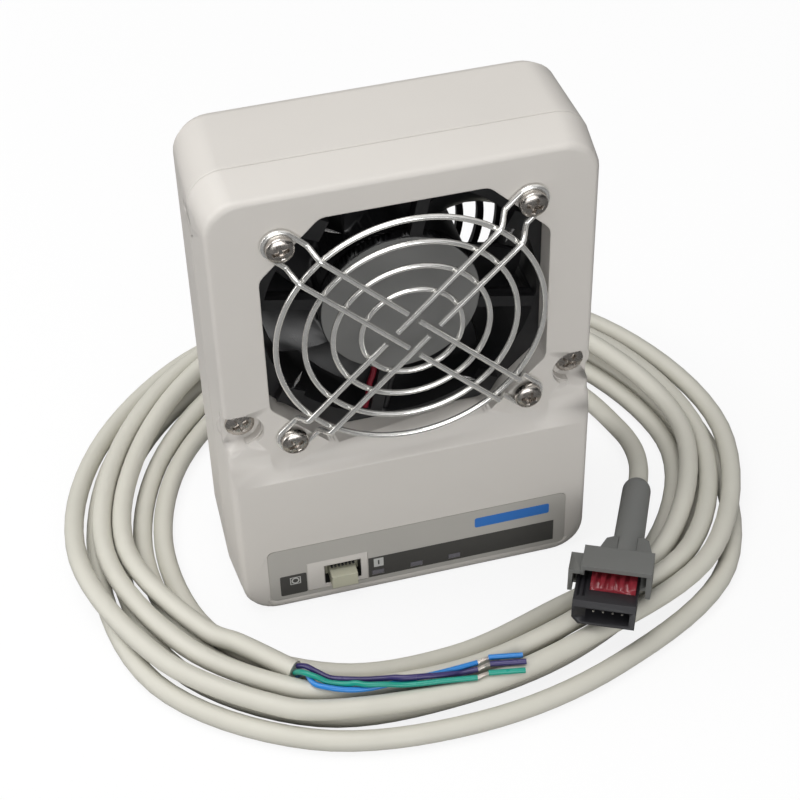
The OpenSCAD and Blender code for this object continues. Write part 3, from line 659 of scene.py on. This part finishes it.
# The same two strengths for the room as bright surfaces mirror it.
MIRRORED_LOW = 0.03
MIRRORED_HIGH = 0.75
LAMPS = (
    ("top_softbox", (-0.25, 0.05, 0.9), (0, 0, 0.05), 0.8, 6.3),
    ("front_softbox", (-0.1, -1.1, 0.25), (0, 0, 0.05), 0.8, 6.2),
    ("low_softbox", (0.2, -1.0, 0.06), (0, 0, 0.02), 0.5, 1.0),
    ("left_softbox", (-0.95, 0.25, 0.3), (0, 0, 0.05), 0.5, 3.0),
)


def seen_share(nodes, links, path):
    """One for what the camera sees, straight or through clear plastic, and nought for the rest."""
    either = nodes.new("ShaderNodeMath")
    either.operation = "MAXIMUM"
    links.new(path.outputs["Is Camera Ray"], either.inputs[0])
    links.new(path.outputs["Is Transmission Ray"], either.inputs[1])
    return either.outputs[0]


class IONISER_OT_stage(PieceBuilder, bpy.types.Operator):
    """Lays the pale floor and sets the soft lights"""

    bl_idname = "ioniser.stage"
    bl_label = "Stage"

    def build(self, sizes):
        scene = bpy.context.scene
        scene.view_settings.view_transform = "Standard"
        self.floor()
        self.world(scene)
        for lamp in LAMPS:
            self.lamp(*lamp)

    def floor(self):
        """Paper that the camera sees almost white, and that throws back less light than it shows."""
        f = Finish("floor_paper")
        path = f.nodes.new("ShaderNodeLightPath")
        seen = f.blend(f.ramp(f.noise(0.2, 2), 0, 1), (0.86, 0.86, 0.86), (0.88, 0.88, 0.88))
        thrown = f.blend(path.outputs["Is Glossy Ray"], (FLOOR_BOUNCE,) * 3, (FLOOR_MIRRORED,) * 3)
        f.drive("Base Color", f.blend(path.outputs["Is Camera Ray"], thrown, seen))
        f.set(Roughness=0.9, Specular_IOR_Level=0.1)
        mix = f.nodes.new("ShaderNodeMixShader")
        glow = f.nodes.new("ShaderNodeEmission")
        glow.inputs["Strength"].default_value = 1.0
        share = f.nodes.new("ShaderNodeMath")
        share.operation = "MULTIPLY"
        share.inputs[1].default_value = FLOOR_LIFT
        f.links.new(seen_share(f.nodes, f.links, path), share.inputs[0])
        f.links.new(share.outputs[0], mix.inputs["Fac"])
        f.links.new(f.shader.outputs[0], mix.inputs[1])
        f.links.new(glow.outputs[0], mix.inputs[2])
        f.links.new(mix.outputs[0], f.nodes["Material Output"].inputs["Surface"])
        bpy.ops.mesh.primitive_plane_add(size=6, location=(0, 0, -0.0001))
        plane = bpy.context.object
        plane.name = "floor"
        plane.data.materials.append(f.material)

    def world(self, scene):
        """A room that is brighter overhead; the camera sees plain white."""
        world = bpy.data.worlds.new("studio")
        scene.world = world
        world.use_nodes = True
        nodes, links = world.node_tree.nodes, world.node_tree.links
        sky = nodes["Background"]
        coords = nodes.new("ShaderNodeTexCoord")
        height = nodes.new("ShaderNodeSeparateXYZ")
        spread = map_range(nodes, 0.0, 0.9, ROOM_LOW, ROOM_HIGH)
        path = nodes.new("ShaderNodeLightPath")
        mirrored = map_range(nodes, 0.25, 0.75, MIRRORED_LOW, MIRRORED_HIGH)
        choice = nodes.new("ShaderNodeMix")
        links.new(coords.outputs["Generated"], height.inputs[0])
        links.new(height.outputs["Z"], spread.inputs["Value"])
        links.new(height.outputs["Z"], mirrored.inputs["Value"])
        links.new(path.outputs["Is Glossy Ray"], choice.inputs["Factor"])
        links.new(spread.outputs["Result"], choice.inputs["A"])
        links.new(mirrored.outputs["Result"], choice.inputs["B"])
        links.new(choice.outputs["Result"], sky.inputs["Strength"])
        sky.inputs["Color"].default_value = (1, 1, 1, 1)
        seen = nodes.new("ShaderNodeBackground")
        seen.inputs["Strength"].default_value = 1.0
        seen.inputs["Color"].default_value = (1, 1, 1, 1)
        mix = nodes.new("ShaderNodeMixShader")
        links.new(seen_share(nodes, links, path), mix.inputs["Fac"])
        links.new(sky.outputs[0], mix.inputs[1])
        links.new(seen.outputs[0], mix.inputs[2])
        links.new(mix.outputs[0], nodes["World Output"].inputs["Surface"])

    def lamp(self, name, place, target, size, watts):
        """One square softbox, aimed at its target."""
        data = bpy.data.lights.new(name, "AREA")
        data.shape = "SQUARE"
        data.size = size
        data.energy = watts
        lamp = bpy.data.objects.new(name, data)
        lamp.location = place
        lamp.rotation_euler = (Vector(target) - Vector(place)).to_track_quat("-Z", "Y").to_euler()
        bpy.context.scene.collection.objects.link(lamp)


# ---- cable

COIL_MIDDLE = (1, 18)
COIL_STEP = 30
# Each row is one turn, read every 30 degrees from the right-hand side round the back:
# how far the cable's centre lies from the loops' middle, and below, how high.
TURN_RADII = [
    [58.0, 58.0, 57.0, 55.5, 54.5, 54.0, 54.3, 55.0, 50.6, 46.0, 46.2, 58.0],
    [66.4, 65.4, 64.8, 64.8, 64.8, 65.0, 65.0, 66.5, 62.5, 56.5, 57.6, 64.1],
    [71.0, 70.0, 69.4, 69.5, 69.6, 69.7, 69.7, 72.4, 68.5, 64.5, 66.5, 75.6],
    [75.6, 74.8, 74.2, 74.2, 74.4, 74.4, 73.6, 69.2, 64.3, 58.4, 59.5, 72.2],
    [78.6, 77.2, 75.0, 71.5, 69.5, 67.7, 67.4, 63.4, 59.0, 53.2, 54.2, 67.2],
    [73.3, 72.2, 69.0, 63.5, 59.6, 58.8, 59.0, 59.8, 56.0, 50.8, 51.2, 61.8],
    [69.0, 67.2, 66.0, 65.8, 65.0, 63.0, 62.8, 57.3],
]
TURN_HEIGHTS = [
    [2.6] + [2.25] * 11,
    [2.25] * 12,
    [2.25] * 12,
    [2.25] * 5 + [3.0, 6.8, 6.8, 6.6, 6.2, 6.4, 6.9],
    [6.9, 6.7, 6.7, 6.7, 6.7, 6.7, 6.6, 6.7, 6.4, 6.2, 6.7, 6.8],
    [6.2, 6.7, 6.7, 6.7, 4.0, 2.25, 2.25, 2.25, 2.25, 2.25, 2.25, 6.5],
    [8.9, 10.2, 11.2, 11.2, 8.4, 6.8, 6.7, 6.5],
]
# One more point after a turn's eighth station, then the ways in from the boot and out to the cut end.
MID_POINTS = {3: (-39.5, -33.8, 6.7), 4: (-36.1, -29.5, 6.45), 5: (-34.3, -27.1, 2.25)}
MID_STATION = 7
LEAD_IN = ((56.1, 9.5, 8.2), (57.8, 17.5, 6.3), (57.7, 27, 4.0))
TAIL = ((-43.0, -15.6, 6.5), (-33.0, -26.2, 6.5))
PLUG_TIP = (32.0, -36.3, 10.95)
PLUG_TURN = -26.0
PLUG_TILT = 6.5
BOOT_AT = (2.0, 16.1, 3.2)
BOOT_LENGTH = 28.9


def plug_space():
    """The plug's own space, mouth at y = 0 and cable leaving along +Y, in millimetres."""
    return (
        Matrix.Translation(at(*PLUG_TIP))
        @ Matrix.Rotation(math.radians(PLUG_TURN), 4, "Z")
        @ Matrix.Rotation(math.radians(-PLUG_TILT), 4, "X")
        @ Matrix.Scale(MM, 4)
    )


def on_boot(s):
    """A point on the boot's axis, this many millimetres from its thick end."""
    return plug_space() @ Vector((BOOT_AT[0], BOOT_AT[1] + s, BOOT_AT[2]))


def cable_route():
    """The cable's centre from the boot, along each turn's stations, to the cut end."""
    points = [on_boot(s) for s in (BOOT_LENGTH - 0.6, BOOT_LENGTH + 1.1)]
    points += [at(*p) for p in LEAD_IN]
    for turn, (radii, heights) in enumerate(zip(TURN_RADII, TURN_HEIGHTS)):
        for k, (r, z) in enumerate(zip(radii, heights)):
            if turn == 0 and k == 0:
                continue
            a = math.radians(k * COIL_STEP)
            points.append(at(COIL_MIDDLE[0] + r * math.cos(a), COIL_MIDDLE[1] + r * math.sin(a), z))
            if k == MID_STATION and turn in MID_POINTS:
                points.append(at(*MID_POINTS[turn]))
    return points + [at(*p) for p in TAIL]


class IONISER_OT_cable(PieceBuilder, bpy.types.Operator):
    """Lays the power cable in its loops round the case"""

    bl_idname = "ioniser.cable"
    bl_label = "Power cable"

    def build(self, sizes):
        path = smooth_path(cable_route(), 8)
        cable = cord_curve("power_cable", path, sizes.cable_diameter, "cable", 6)
        seat(cable, "cable")


# The cores' centres from the cut jacket over the turns, and the cut-off slugs beyond their bare ends.
CORE_ROUTES = {
    "core_blue": [
        (-32.7, -26.6, 5.2), (-31.4, -28.1, 7.4), (-31, -29.6, 8.6), (-30.9, -31, 9.2),
        (-30.1, -33.2, 9.3), (-27.7, -34.8, 9.3), (-24, -36.1, 8.9), (-20, -36.7, 8.6),
        (-12, -36.9, 8.8), (-4, -36.9, 8.8), (3.8, -36.4, 8.7),
    ],
    "core_navy": [
        (-32.3, -26.1, 7.6), (-30.9, -27.6, 8.8), (-29.2, -29.9, 9.3), (-26.8, -32.2, 9.1),
        (-23.2, -33.8, 9.3), (-19.5, -34.8, 9.2), (-15.8, -35.7, 9.4), (-14, -36.5, 10),
        (-12, -37.3, 10.2), (-8.3, -37.8, 10), (-4.5, -38.1, 9.5), (-2, -38.1, 9),
        (-0.3, -37.9, 8.4), (3.4, -38.3, 8.9),
    ],
    "core_teal": [
        (-33.2, -27.2, 6.9), (-32.8, -28.5, 8.6), (-31.8, -30.5, 10.4), (-29.6, -32.3, 10.4),
        (-27.2, -33.6, 9.4), (-23.8, -34.9, 9.3), (-22, -35.6, 9.8), (-20.2, -36.6, 9.9),
        (-16.5, -37.5, 9.8), (-12.7, -38.2, 9.2), (-8.9, -38.9, 9.2), (-5, -39.4, 9.2),
        (2.6, -40.5, 9.1),
    ],
}
SLUGS = {
    "core_blue": ((6.4, -35.8, 8.9), (13.4, -37.3, 9.1)),
    "core_navy": ((6.2, -37.6, 8.9), (13.6, -39.2, 9.2)),
    "core_teal": ((5.2, -39.9, 9.1), (12.8, -41.0, 8.7)),
}


class IONISER_OT_cores(PieceBuilder, bpy.types.Operator):
    """Runs the three cores out of the cut jacket"""

    bl_idname = "ioniser.cores"
    bl_label = "Cores"

    def build(self, sizes):
        strands = strand_rule()
        bundles = []
        for name, route in CORE_ROUTES.items():
            path = smooth_path([at(*p) for p in route], 8)
            core = cord_curve(name + "_wire", path, sizes.core_diameter, name, 4)
            seat(core, name)
            slug = cord_curve(name + "_slug", [at(*p) for p in SLUGS[name]], sizes.core_diameter, name, 4)
            beside(slug)
            start, end = at(*route[-1]), at(*SLUGS[name][0])
            bare = smooth_path([start, start.lerp(end, 0.5) + Vector((0, 0, 0.00015)), end], 6)
            bundles.append(grown(
                line_object(name + "_bare", bare), strands, "strand",
                Strands=7, Bundle_radius=0.00028, Lay=0.009, Wire_diameter=0.0002,
            ))
        seat(joined("bare_ends", *bundles), "bare_strands")


# ---- case


# The case screws' pockets: their middle, the radii and depths of the wall that closes them, how far
# round it reaches in degrees, and their round floor.
POCKET_X = 35.6
POCKET_Z = 52
POCKET_RADII = (4.42, 4.75)
POCKET_DEPTHS = (1.3, 3.7)
POCKET_REACH = 80
POCKET_STEPS = 40
POCKET_FLOOR_RADIUS = 4.45
POCKET_FLOOR_Y = 3.5
# The bracket slots in the sides: the middles of their round ends, and the dark plate inside them, which is
# painted shade on the slots' floors.
SLOT_ENDS = (10.3, 17.2)
SLOT_Z = 97.6
PLATE_RADIUS = 1.78
PLATE_DEPTH = 1.1
PLATE_THICKNESS = 0.3


class IONISER_OT_covers(PieceBuilder, bpy.types.Operator):
    """Dresses the two covers"""

    bl_idname = "ioniser.covers"
    bl_label = "Covers"

    def build(self, sizes):
        dressed_copy("front_cover", "front_housing", "housing", 34)
        dressed_copy("rear_cover", "rear_housing", "housing", 34)
        self.pocket_floors()
        # the side slots' dark floors are painted shade, laid on as grey plates
        self.slot_shade_plates()

    def pocket_floors(self):
        """The round floors and inner walls of the case screws' pockets."""
        bm = bmesh.new()
        for side in (-1, 1):
            arcs = []
            for radius in POCKET_RADII:
                arc = []
                for k in range(POCKET_STEPS + 1):
                    a = math.radians(POCKET_REACH * (2 * k / POCKET_STEPS - 1))
                    arc.append((side * (POCKET_X - radius * math.cos(a)), POCKET_Z + radius * math.sin(a)))
                arcs.append(arc)
            ring = [[bm.verts.new(at(x, y, z)) for x, z in arc] for arc in arcs for y in POCKET_DEPTHS]
            for a, b in ((0, 1), (1, 3), (3, 2), (2, 0)):
                for k in range(POCKET_STEPS):
                    bm.faces.new((ring[a][k], ring[a][k + 1], ring[b][k + 1], ring[b][k]))
            for k in (0, POCKET_STEPS):
                bm.faces.new([ring[a][k] for a in (0, 1, 3, 2)])
            turn = Matrix.Rotation(math.pi / 2, 4, "X")
            bmesh.ops.create_cone(
                bm, cap_ends=True, segments=64, depth=0.5 * MM,
                radius1=POCKET_FLOOR_RADIUS * MM, radius2=POCKET_FLOOR_RADIUS * MM,
                matrix=Matrix.Translation(at(side * POCKET_X, POCKET_FLOOR_Y, POCKET_Z)) @ turn,
            )
        bmesh.ops.recalc_face_normals(bm, faces=bm.faces)
        beside(bm_piece("pocket_floors", bm, "housing"))

    def slot_shade_plates(self):
        """Grey plates at the bottom of the side slots: painted shade that darkens the slots' floors."""
        bm = bmesh.new()
        for side in (-1, 1):
            angles = [math.radians(a) for a in range(-90, 91, 9)]
            ends = []
            for middle, way in ((SLOT_ENDS[1], PLATE_RADIUS), (SLOT_ENDS[0], -PLATE_RADIUS)):
                ends += [(middle + way * math.cos(a), SLOT_Z + way * math.sin(a)) for a in angles]
            outline = [at(side * (HALF_W - PLATE_DEPTH), y, z) for y, z in ends]
            add_sheet(bm, outline, (-side * PLATE_THICKNESS * MM, 0, 0))
        bmesh.ops.recalc_face_normals(bm, faces=bm.faces)
        beside(bm_piece("side_slot_shade_plates", bm, "grey"))


# ---- guard and screws

# The guard: its rings and their pitch, how far the rings, the clips' legs and their eyes stand forward,
# half a clip's width, the gap at the middle, where a leg steps back, and the screws' distance.
RING_RADIUS = 27.6
RING_PITCH = 5.74
RING_Y = -3.05
LEG_Y = -4.2
EYE_Y = -0.62
LEG_OFF = 3.1
LEG_GAP = 1.6
JOG = (28.0, 31.2)
HOLE_OFF = 25.0


def clip_line():
    """One clip of the guard, from the middle out, round its screw and back."""
    corner = HOLE_OFF * math.sqrt(2)

    def leg(side, start):
        points = [(start, LEG_Y, side), (JOG[0] - 2, LEG_Y, side)]
        for k in range(13):
            t = k / 12
            fall = t * t * (3 - 2 * t)
            points.append((JOG[0] + (JOG[1] - JOG[0]) * t, LEG_Y + (EYE_Y - LEG_Y) * fall, side))
        return points + [(corner - 0.3, EYE_Y, side)]

    eye = []
    for k in range(25):
        a = math.pi * (0.5 - k / 24)
        eye.append((corner + LEG_OFF * math.cos(a), EYE_Y, LEG_OFF * math.sin(a)))
    out = leg(LEG_OFF, LEG_GAP - LEG_OFF)
    back = leg(-LEG_OFF, LEG_OFF + LEG_GAP)
    return [Vector(p) * MM for p in out + eye + back[::-1]]


class IONISER_OT_guard(PieceBuilder, bpy.types.Operator):
    """Bends the finger guard's clips and rings from bright wire"""

    bl_idname = "ioniser.guard"
    bl_label = "Finger guard"

    def build(self, sizes):
        clips = grown(
            line_object("guard_clips", clip_line()), bent_wire_rule(), "steel",
            Copies=4, First_angle=math.radians(45), Centre=at(0, 0, FAN_Z), Wire_diameter=sizes.wire_diameter,
        )
        rings = grown(
            line_object("guard_rings", [(0, 0, 0), (0, 0, 1)]), ring_rule(), "steel",
            Rings=4, Outer_radius=RING_RADIUS * MM, Pitch=RING_PITCH * MM, Centre=at(0, RING_Y, FAN_Z),
            Wire_diameter=sizes.wire_diameter,
        )
        seat(joined("wire_guard", clips, rings), "finger_guard")


def pan_head(name, width, height, shank, length):
    """A pan head screw with a tapered cross recess, its head towards -Y."""
    rings, around = 44, 120
    radius = width / 2
    verts, faces = [], []

    def relief(x, z):
        def slot(u, v):
            wall = min(1, max(0, (0.078 * width - abs(v)) / (0.014 * width)))
            end = min(1, max(0, (0.3 * width - abs(u)) / (0.06 * width)))
            return min(wall, end)

        return 0.5 * height * max(slot(x, z), slot(z, x))

    verts.append((0, -height + relief(0, 0), 0))
    for i in range(1, rings + 1):
        r = radius * i / rings
        rise = 0.36 + 0.64 * math.sqrt(max(0, 1 - (0.95 * r / radius) ** 3.2))
        if i == rings:
            rise = 0.42
        for k in range(around):
            a = math.tau * k / around
            x, z = r * math.cos(a), r * math.sin(a)
            verts.append((x, -height * rise + relief(x, z), z))
    for r, y in ((radius, 0), (shank / 2, 0), (shank / 2, length)):
        for k in range(around):
            a = math.tau * k / around
            verts.append((r * math.cos(a), y, r * math.sin(a)))
    rows = rings + 3
    for k in range(around):
        n = (k + 1) % around
        faces.append((0, 1 + n, 1 + k))
        for i in range(rows - 1):
            a, b = 1 + i * around, 1 + (i + 1) * around
            faces.append((a + k, a + n, b + n, b + k))
    faces.append([1 + (rows - 1) * around + k for k in range(around)])
    obj = mesh_from(name, [Vector(v) * MM for v in verts], faces, None, 35)
    bm = bmesh.new()
    bm.from_mesh(obj.data)
    bmesh.ops.recalc_face_normals(bm, faces=bm.faces)
    bm.to_mesh(obj.data)
    bm.free()
    return obj


GUARD_SCREW = {"width": 5.7, "height": 1.8, "shank": 2.94, "length": 20}
GUARD_SCREW_Y = -1.24
CASE_SCREW = {"width": 6.2, "height": 1.5, "shank": 2.56, "length": 18}
CASE_SCREW_Y = 3.6
CASE_SCREW_PITCH = 70.8


class IONISER_OT_screws(PieceBuilder, bpy.types.Operator):
    """Sets the guard's and the case's screws"""

    bl_idname = "ioniser.screws"
    bl_label = "Screws"

    def build(self, sizes):
        rule = screw_rule()
        guard = grown(
            pan_head("guard_screw_set", **GUARD_SCREW), rule, "screw",
            Across=2, Up=2, Pitch_across=2 * HOLE_OFF * MM, Pitch_up=2 * HOLE_OFF * MM,
            Centre=at(0, GUARD_SCREW_Y, FAN_Z), Seed=4,
        )
        seat(guard, "guard_screws")
        case = grown(
            pan_head("case_screw_set", **CASE_SCREW), rule, "screw",
            Across=2, Up=1, Pitch_across=CASE_SCREW_PITCH * MM, Pitch_up=0.0,
            Centre=at(0, CASE_SCREW_Y, POCKET_Z), Seed=7,
        )
        seat(case, "case_screws")


# ---- label and switch

FILM_Y = -STEP_OUT + 0.02
PRINT_Y = FILM_Y - 0.02
LED_X = (-8.9, -0.1, 8.6)
LED_Z = 4.9
BAND_X = (-11.0, 31.6)
BAND_Z = (3.6, 9.7)


def prints(name, finish, sheets, thickness=0.02):
    """Thin printed shapes on the label; each is an outline of (x, z) points."""
    bm = bmesh.new()
    for outline in sheets:
        add_sheet(bm, [at(x, PRINT_Y, z) for x, z in outline], (0, thickness * MM, 0))
    bmesh.ops.recalc_face_normals(bm, faces=bm.faces)
    return beside(bm_piece(name, bm, finish, 20))


def block(x0, x1, z0, z1, r=0.0, steps=5):
    """A rectangle's outline, its corners rounded."""
    if not r:
        return [(x0, z0), (x1, z0), (x1, z1), (x0, z1)]
    points = []
    middles = ((x1 - r, z0 + r), (x1 - r, z1 - r), (x0 + r, z1 - r), (x0 + r, z0 + r))
    for (cx, cz), start in zip(middles, (-90, 0, 90, 180)):
        for k in range(steps + 1):
            a = math.radians(start + 90 * k / steps)
            points.append((cx + r * math.cos(a), cz + r * math.sin(a)))
    return points


def frame_strips(x0, x1, z0, z1, line):
    """The four strips of a thin rectangular frame."""
    return [
        block(x0, x1, z0, z0 + line), block(x0, x1, z1 - line, z1),
        block(x0, x0 + line, z0 + line, z1 - line), block(x1 - line, x1, z0 + line, z1 - line),
    ]


def arc_strip(cx, cz, r, line, start, end, steps=24):
    """A bent strip round a centre, between two angles in degrees."""
    outer, inner = [], []
    for k in range(steps + 1):
        a = math.radians(start + (end - start) * k / steps)
        outer.append((cx + (r + line / 2) * math.cos(a), cz + (r + line / 2) * math.sin(a)))
        inner.append((cx + (r - line / 2) * math.cos(a), cz + (r - line / 2) * math.sin(a)))
    return outer + inner[::-1]


class IONISER_OT_label(PieceBuilder, bpy.types.Operator):
    """Prints the front label's plain bands and marks"""

    bl_idname = "ioniser.label"
    bl_label = "Front label"

    def build(self, sizes):
        dark = [block(-30.9, -24.95, 3.4, 9.5, 0.4)]
        edges = [BAND_X[0], *(x + d for x in LED_X for d in (-1.4, 1.4)), BAND_X[1]]
        low, high = LED_Z - 0.7, LED_Z + 0.7
        dark += [block(*BAND_X, BAND_Z[0], low), block(*BAND_X, high, BAND_Z[1])]
        dark += [block(a, b, low, high) for a, b in zip(edges[::2], edges[1::2])]
        prints("label_dark_bands", "film_dark", dark)
        marks = [arc_strip(-27.5, 7.6, 0.75, 0.28, 0, 360)] + frame_strips(-28.7, -26.3, 6.5, 8.7, 0.2)
        marks += [block(-9.8, -8.87, 6.6, 9.2), block(-8.53, -7.6, 6.6, 9.2)]
        marks += [block(-8.87, -8.53, 6.6, 7.2), block(-8.87, -8.53, 8.6, 9.2)]
        for v in prints("label_marks", "film_pale", marks).data.vertices:
            v.co.y -= 0.015 * MM
        prints("label_blue_band", "film_blue", [block(13.3, 30.4, 12.4, 15.3, 0.5)])
        lens = [block(x - 1.3, x + 1.3, LED_Z - 0.6, LED_Z + 0.6, 0.2) for x in LED_X]
        windows = prints("indicator_windows", "lens", lens)


# The switch's window: half its width, its foot and top, and the film round it.
WINDOW_HALF = 4
WINDOW_Z = (4.7, 10)
LINER = 0.04


class IONISER_OT_switch(PieceBuilder, bpy.types.Operator):
    """Fits the sliding switch's knob and its ribbed grip"""

    bl_idname = "ioniser.switch"
    bl_label = "Slide switch"

    def build(self, sizes):
        dressed_copy("switch_slider", "slide_knob", "ivory", 12)
        bm = bmesh.new()
        bmesh.ops.create_cube(bm, size=1)
        bmesh.ops.scale(bm, vec=(0.0005, 0.0012, 0.0007), verts=bm.verts)
        bmesh.ops.bevel(bm, geom=bm.edges, offset=0.0001, segments=2, affect="EDGES")
        rib = bm_piece("knob_grip", bm, None)
        grip = grown(
            rib, row_rule(), "black",
            Copies=7, First=at(SWITCH_X - 2.4, -2.0, 9.5), Step=Vector((0.0008, 0, 0)),
        )
        beside(grip, "switch_knob")
        self.liner()

    def liner(self):
        """A dark film round the inside of the switch's window."""
        x0, x1 = SWITCH_X - WINDOW_HALF, SWITCH_X + WINDOW_HALF
        z0, z1 = WINDOW_Z
        bm = bmesh.new()
        for a, b, c, d in (
            (x0, x0 + LINER, z0, z1), (x1 - LINER, x1, z0, z1),
            (x0, x1, z0, z0 + LINER), (x0, x1, z1 - LINER, z1),
        ):
            low, high = at(a, -STEP_OUT + 0.1, c), at(b, 0.4, d)
            middle, size = (low + high) / 2, high - low
            form = Matrix.Translation(middle) @ Matrix.Diagonal((*size, 1))
            bmesh.ops.create_cube(bm, size=1, matrix=form)
        beside(bm_piece("window_liner", bm, "black"))


# ---- fan

BLADE_STOP = math.radians(-7)
# The two leads with their finish and distance from the strut's line, their way out in degrees, their
# depth and thickness, then for each point its distance from the middle, its bend and its drop.
LEADS = (("lead_positive", "lead_red", -2.2), ("lead_negative", "black", 2.2))
LEAD_ANGLE = 258
LEAD_Y = 7.0
LEAD_DIAMETER = 1.3
LEAD_LINE = ((16.9, 0, 0), (19, 0.1, -0.1), (22, -0.1, 0.1), (25, 0.1, 0), (28.3, 0, 0))


class IONISER_OT_fan(PieceBuilder, bpy.types.Operator):
    """Dresses the fan, its leads and the emitter needles"""

    bl_idname = "ioniser.fan"
    bl_label = "Fan and needles"

    def build(self, sizes):
        dressed_copy("fan_frame", "fan_housing", "black", 32)
        self.rotor()
        dressed_copy("needle_holders", "needle_blocks", "black", 32)
        dressed_copy("emitter_needles", "needles", "needle", 32)
        dressed_copy("rear_grille", "rear_ring_grille", "black", 32)
        dressed_copy("motor_disc", "motor_cover_disc", "disc", 32)
        self.leads()

    def rotor(self):
        """The rotor with its blades leaning clockwise inwards, stopped where the gap shows."""
        turn = Matrix.Rotation(-BLADE_STOP, 4, "Y") @ Matrix.Scale(-1, 4, (0, 0, 1))
        middle = Matrix.Translation(at(0, 0, FAN_Z))
        dressed_copy(
            "fan_impeller", "fan_rotor_blades", "black_gloss", 32, middle @ turn @ middle.inverted()
        )

    def leads(self):
        """The red lead and the dark one beside it run out along a strut."""
        out = math.radians(LEAD_ANGLE)
        along = Vector((math.cos(out), 0, math.sin(out)))
        side = Vector((-math.sin(out), 0, math.cos(out)))
        for name, finish, off in LEADS:
            middle = at(0, 0, FAN_Z)
            points = [
                middle + (along * r + side * (off + bend) + Vector((0, LEAD_Y + drop, 0))) * MM
                for r, bend, drop in LEAD_LINE
            ]
            lead = applied(cord_curve(name, smooth_path(points, 6), LEAD_DIAMETER * MM, finish, 4))
            if off < 0:
                seat(lead, "fan_leads")
            else:
                beside(lead)


# ---- plug


class IONISER_OT_plug(PieceBuilder, bpy.types.Operator):
    """Dresses the plug, its latch hood and the cable's boot"""

    bl_idname = "ioniser.plug"
    bl_label = "Plug"

    def build(self, sizes):
        dressed_copy("plug_hood", "plug_latch_hood", "hood", 14)
        dressed_copy("plug_body", "plug_shell", "plug_black", 32)
        dressed_copy("cable_boot", "plug_boot", "boot", 32)
        dressed_copy("plug_window", "plug_clear_window", "red_clear", 32)


class IONISER_OT_rest(PieceBuilder, bpy.types.Operator):
    """Gives every other piece its finish"""

    bl_idname = "ioniser.rest"
    bl_label = "Other finishes"

    def build(self, sizes):
        for node, finish in (
            ("front_label", "film"), ("indicator_lenses", "lens"), ("indicator_leds", "ivory"),
            ("switch_body", "black"), ("control_board", "board"), ("board_screws", "screw"),
            ("high_voltage_module", "potting"), ("power_receptacle", "black"),
            ("receptacle_pins", "contact"), ("needle_leads", "cable"), ("rotor_yoke", "screw"),
            ("rotor_magnet", "ferrite"), ("rotor_shaft", "needle"), ("front_bearing", "needle"),
            ("rear_bearing", "needle"), ("shaft_circlip", "screw"), ("fan_stator", "screw"),
            ("stator_windings", "copper"), ("motor_board", "board"), ("plug_contacts", "contact"),
        ):
            paint(node, finish)


# ---- add-on


class IONISER_PT_panel(bpy.types.Panel):
    """The ioniser's builders in the sidebar"""

    bl_idname = "IONISER_PT_panel"
    bl_label = "Fan ioniser"
    bl_space_type = "VIEW_3D"
    bl_region_type = "UI"
    bl_category = "Ioniser"

    def draw(self, context):
        for group in (context.scene.ioniser_colours, context.scene.ioniser_sizes):
            for name in group.__annotations__:
                self.layout.prop(group, name)
        for step in STEPS:
            self.layout.operator(step.bl_idname)


STEPS = (
    IONISER_OT_camera,
    IONISER_OT_stage,
    IONISER_OT_cable,
    IONISER_OT_cores,
    IONISER_OT_covers,
    IONISER_OT_guard,
    IONISER_OT_screws,
    IONISER_OT_label,
    IONISER_OT_switch,
    IONISER_OT_fan,
    IONISER_OT_plug,
    IONISER_OT_rest,
)
CLASSES = (IoniserColours, IoniserSizes, *STEPS, IONISER_PT_panel)


def register():
    """Adds the settings, the builders and the panel."""
    for cls in CLASSES:
        bpy.utils.register_class(cls)
    bpy.types.Scene.ioniser_colours = bpy.props.PointerProperty(type=IoniserColours)
    bpy.types.Scene.ioniser_sizes = bpy.props.PointerProperty(type=IoniserSizes)


def unregister():
    """Takes them away again."""
    del bpy.types.Scene.ioniser_sizes
    del bpy.types.Scene.ioniser_colours
    for cls in reversed(CLASSES):
        bpy.utils.unregister_class(cls)


def main():
    """Builds every piece."""
    register()
    make_finishes(bpy.context.scene.ioniser_colours)
    for step in STEPS:
        group, name = step.bl_idname.split(".")
        getattr(getattr(bpy.ops, group), name)()


if __name__ == "__main__":
    main()
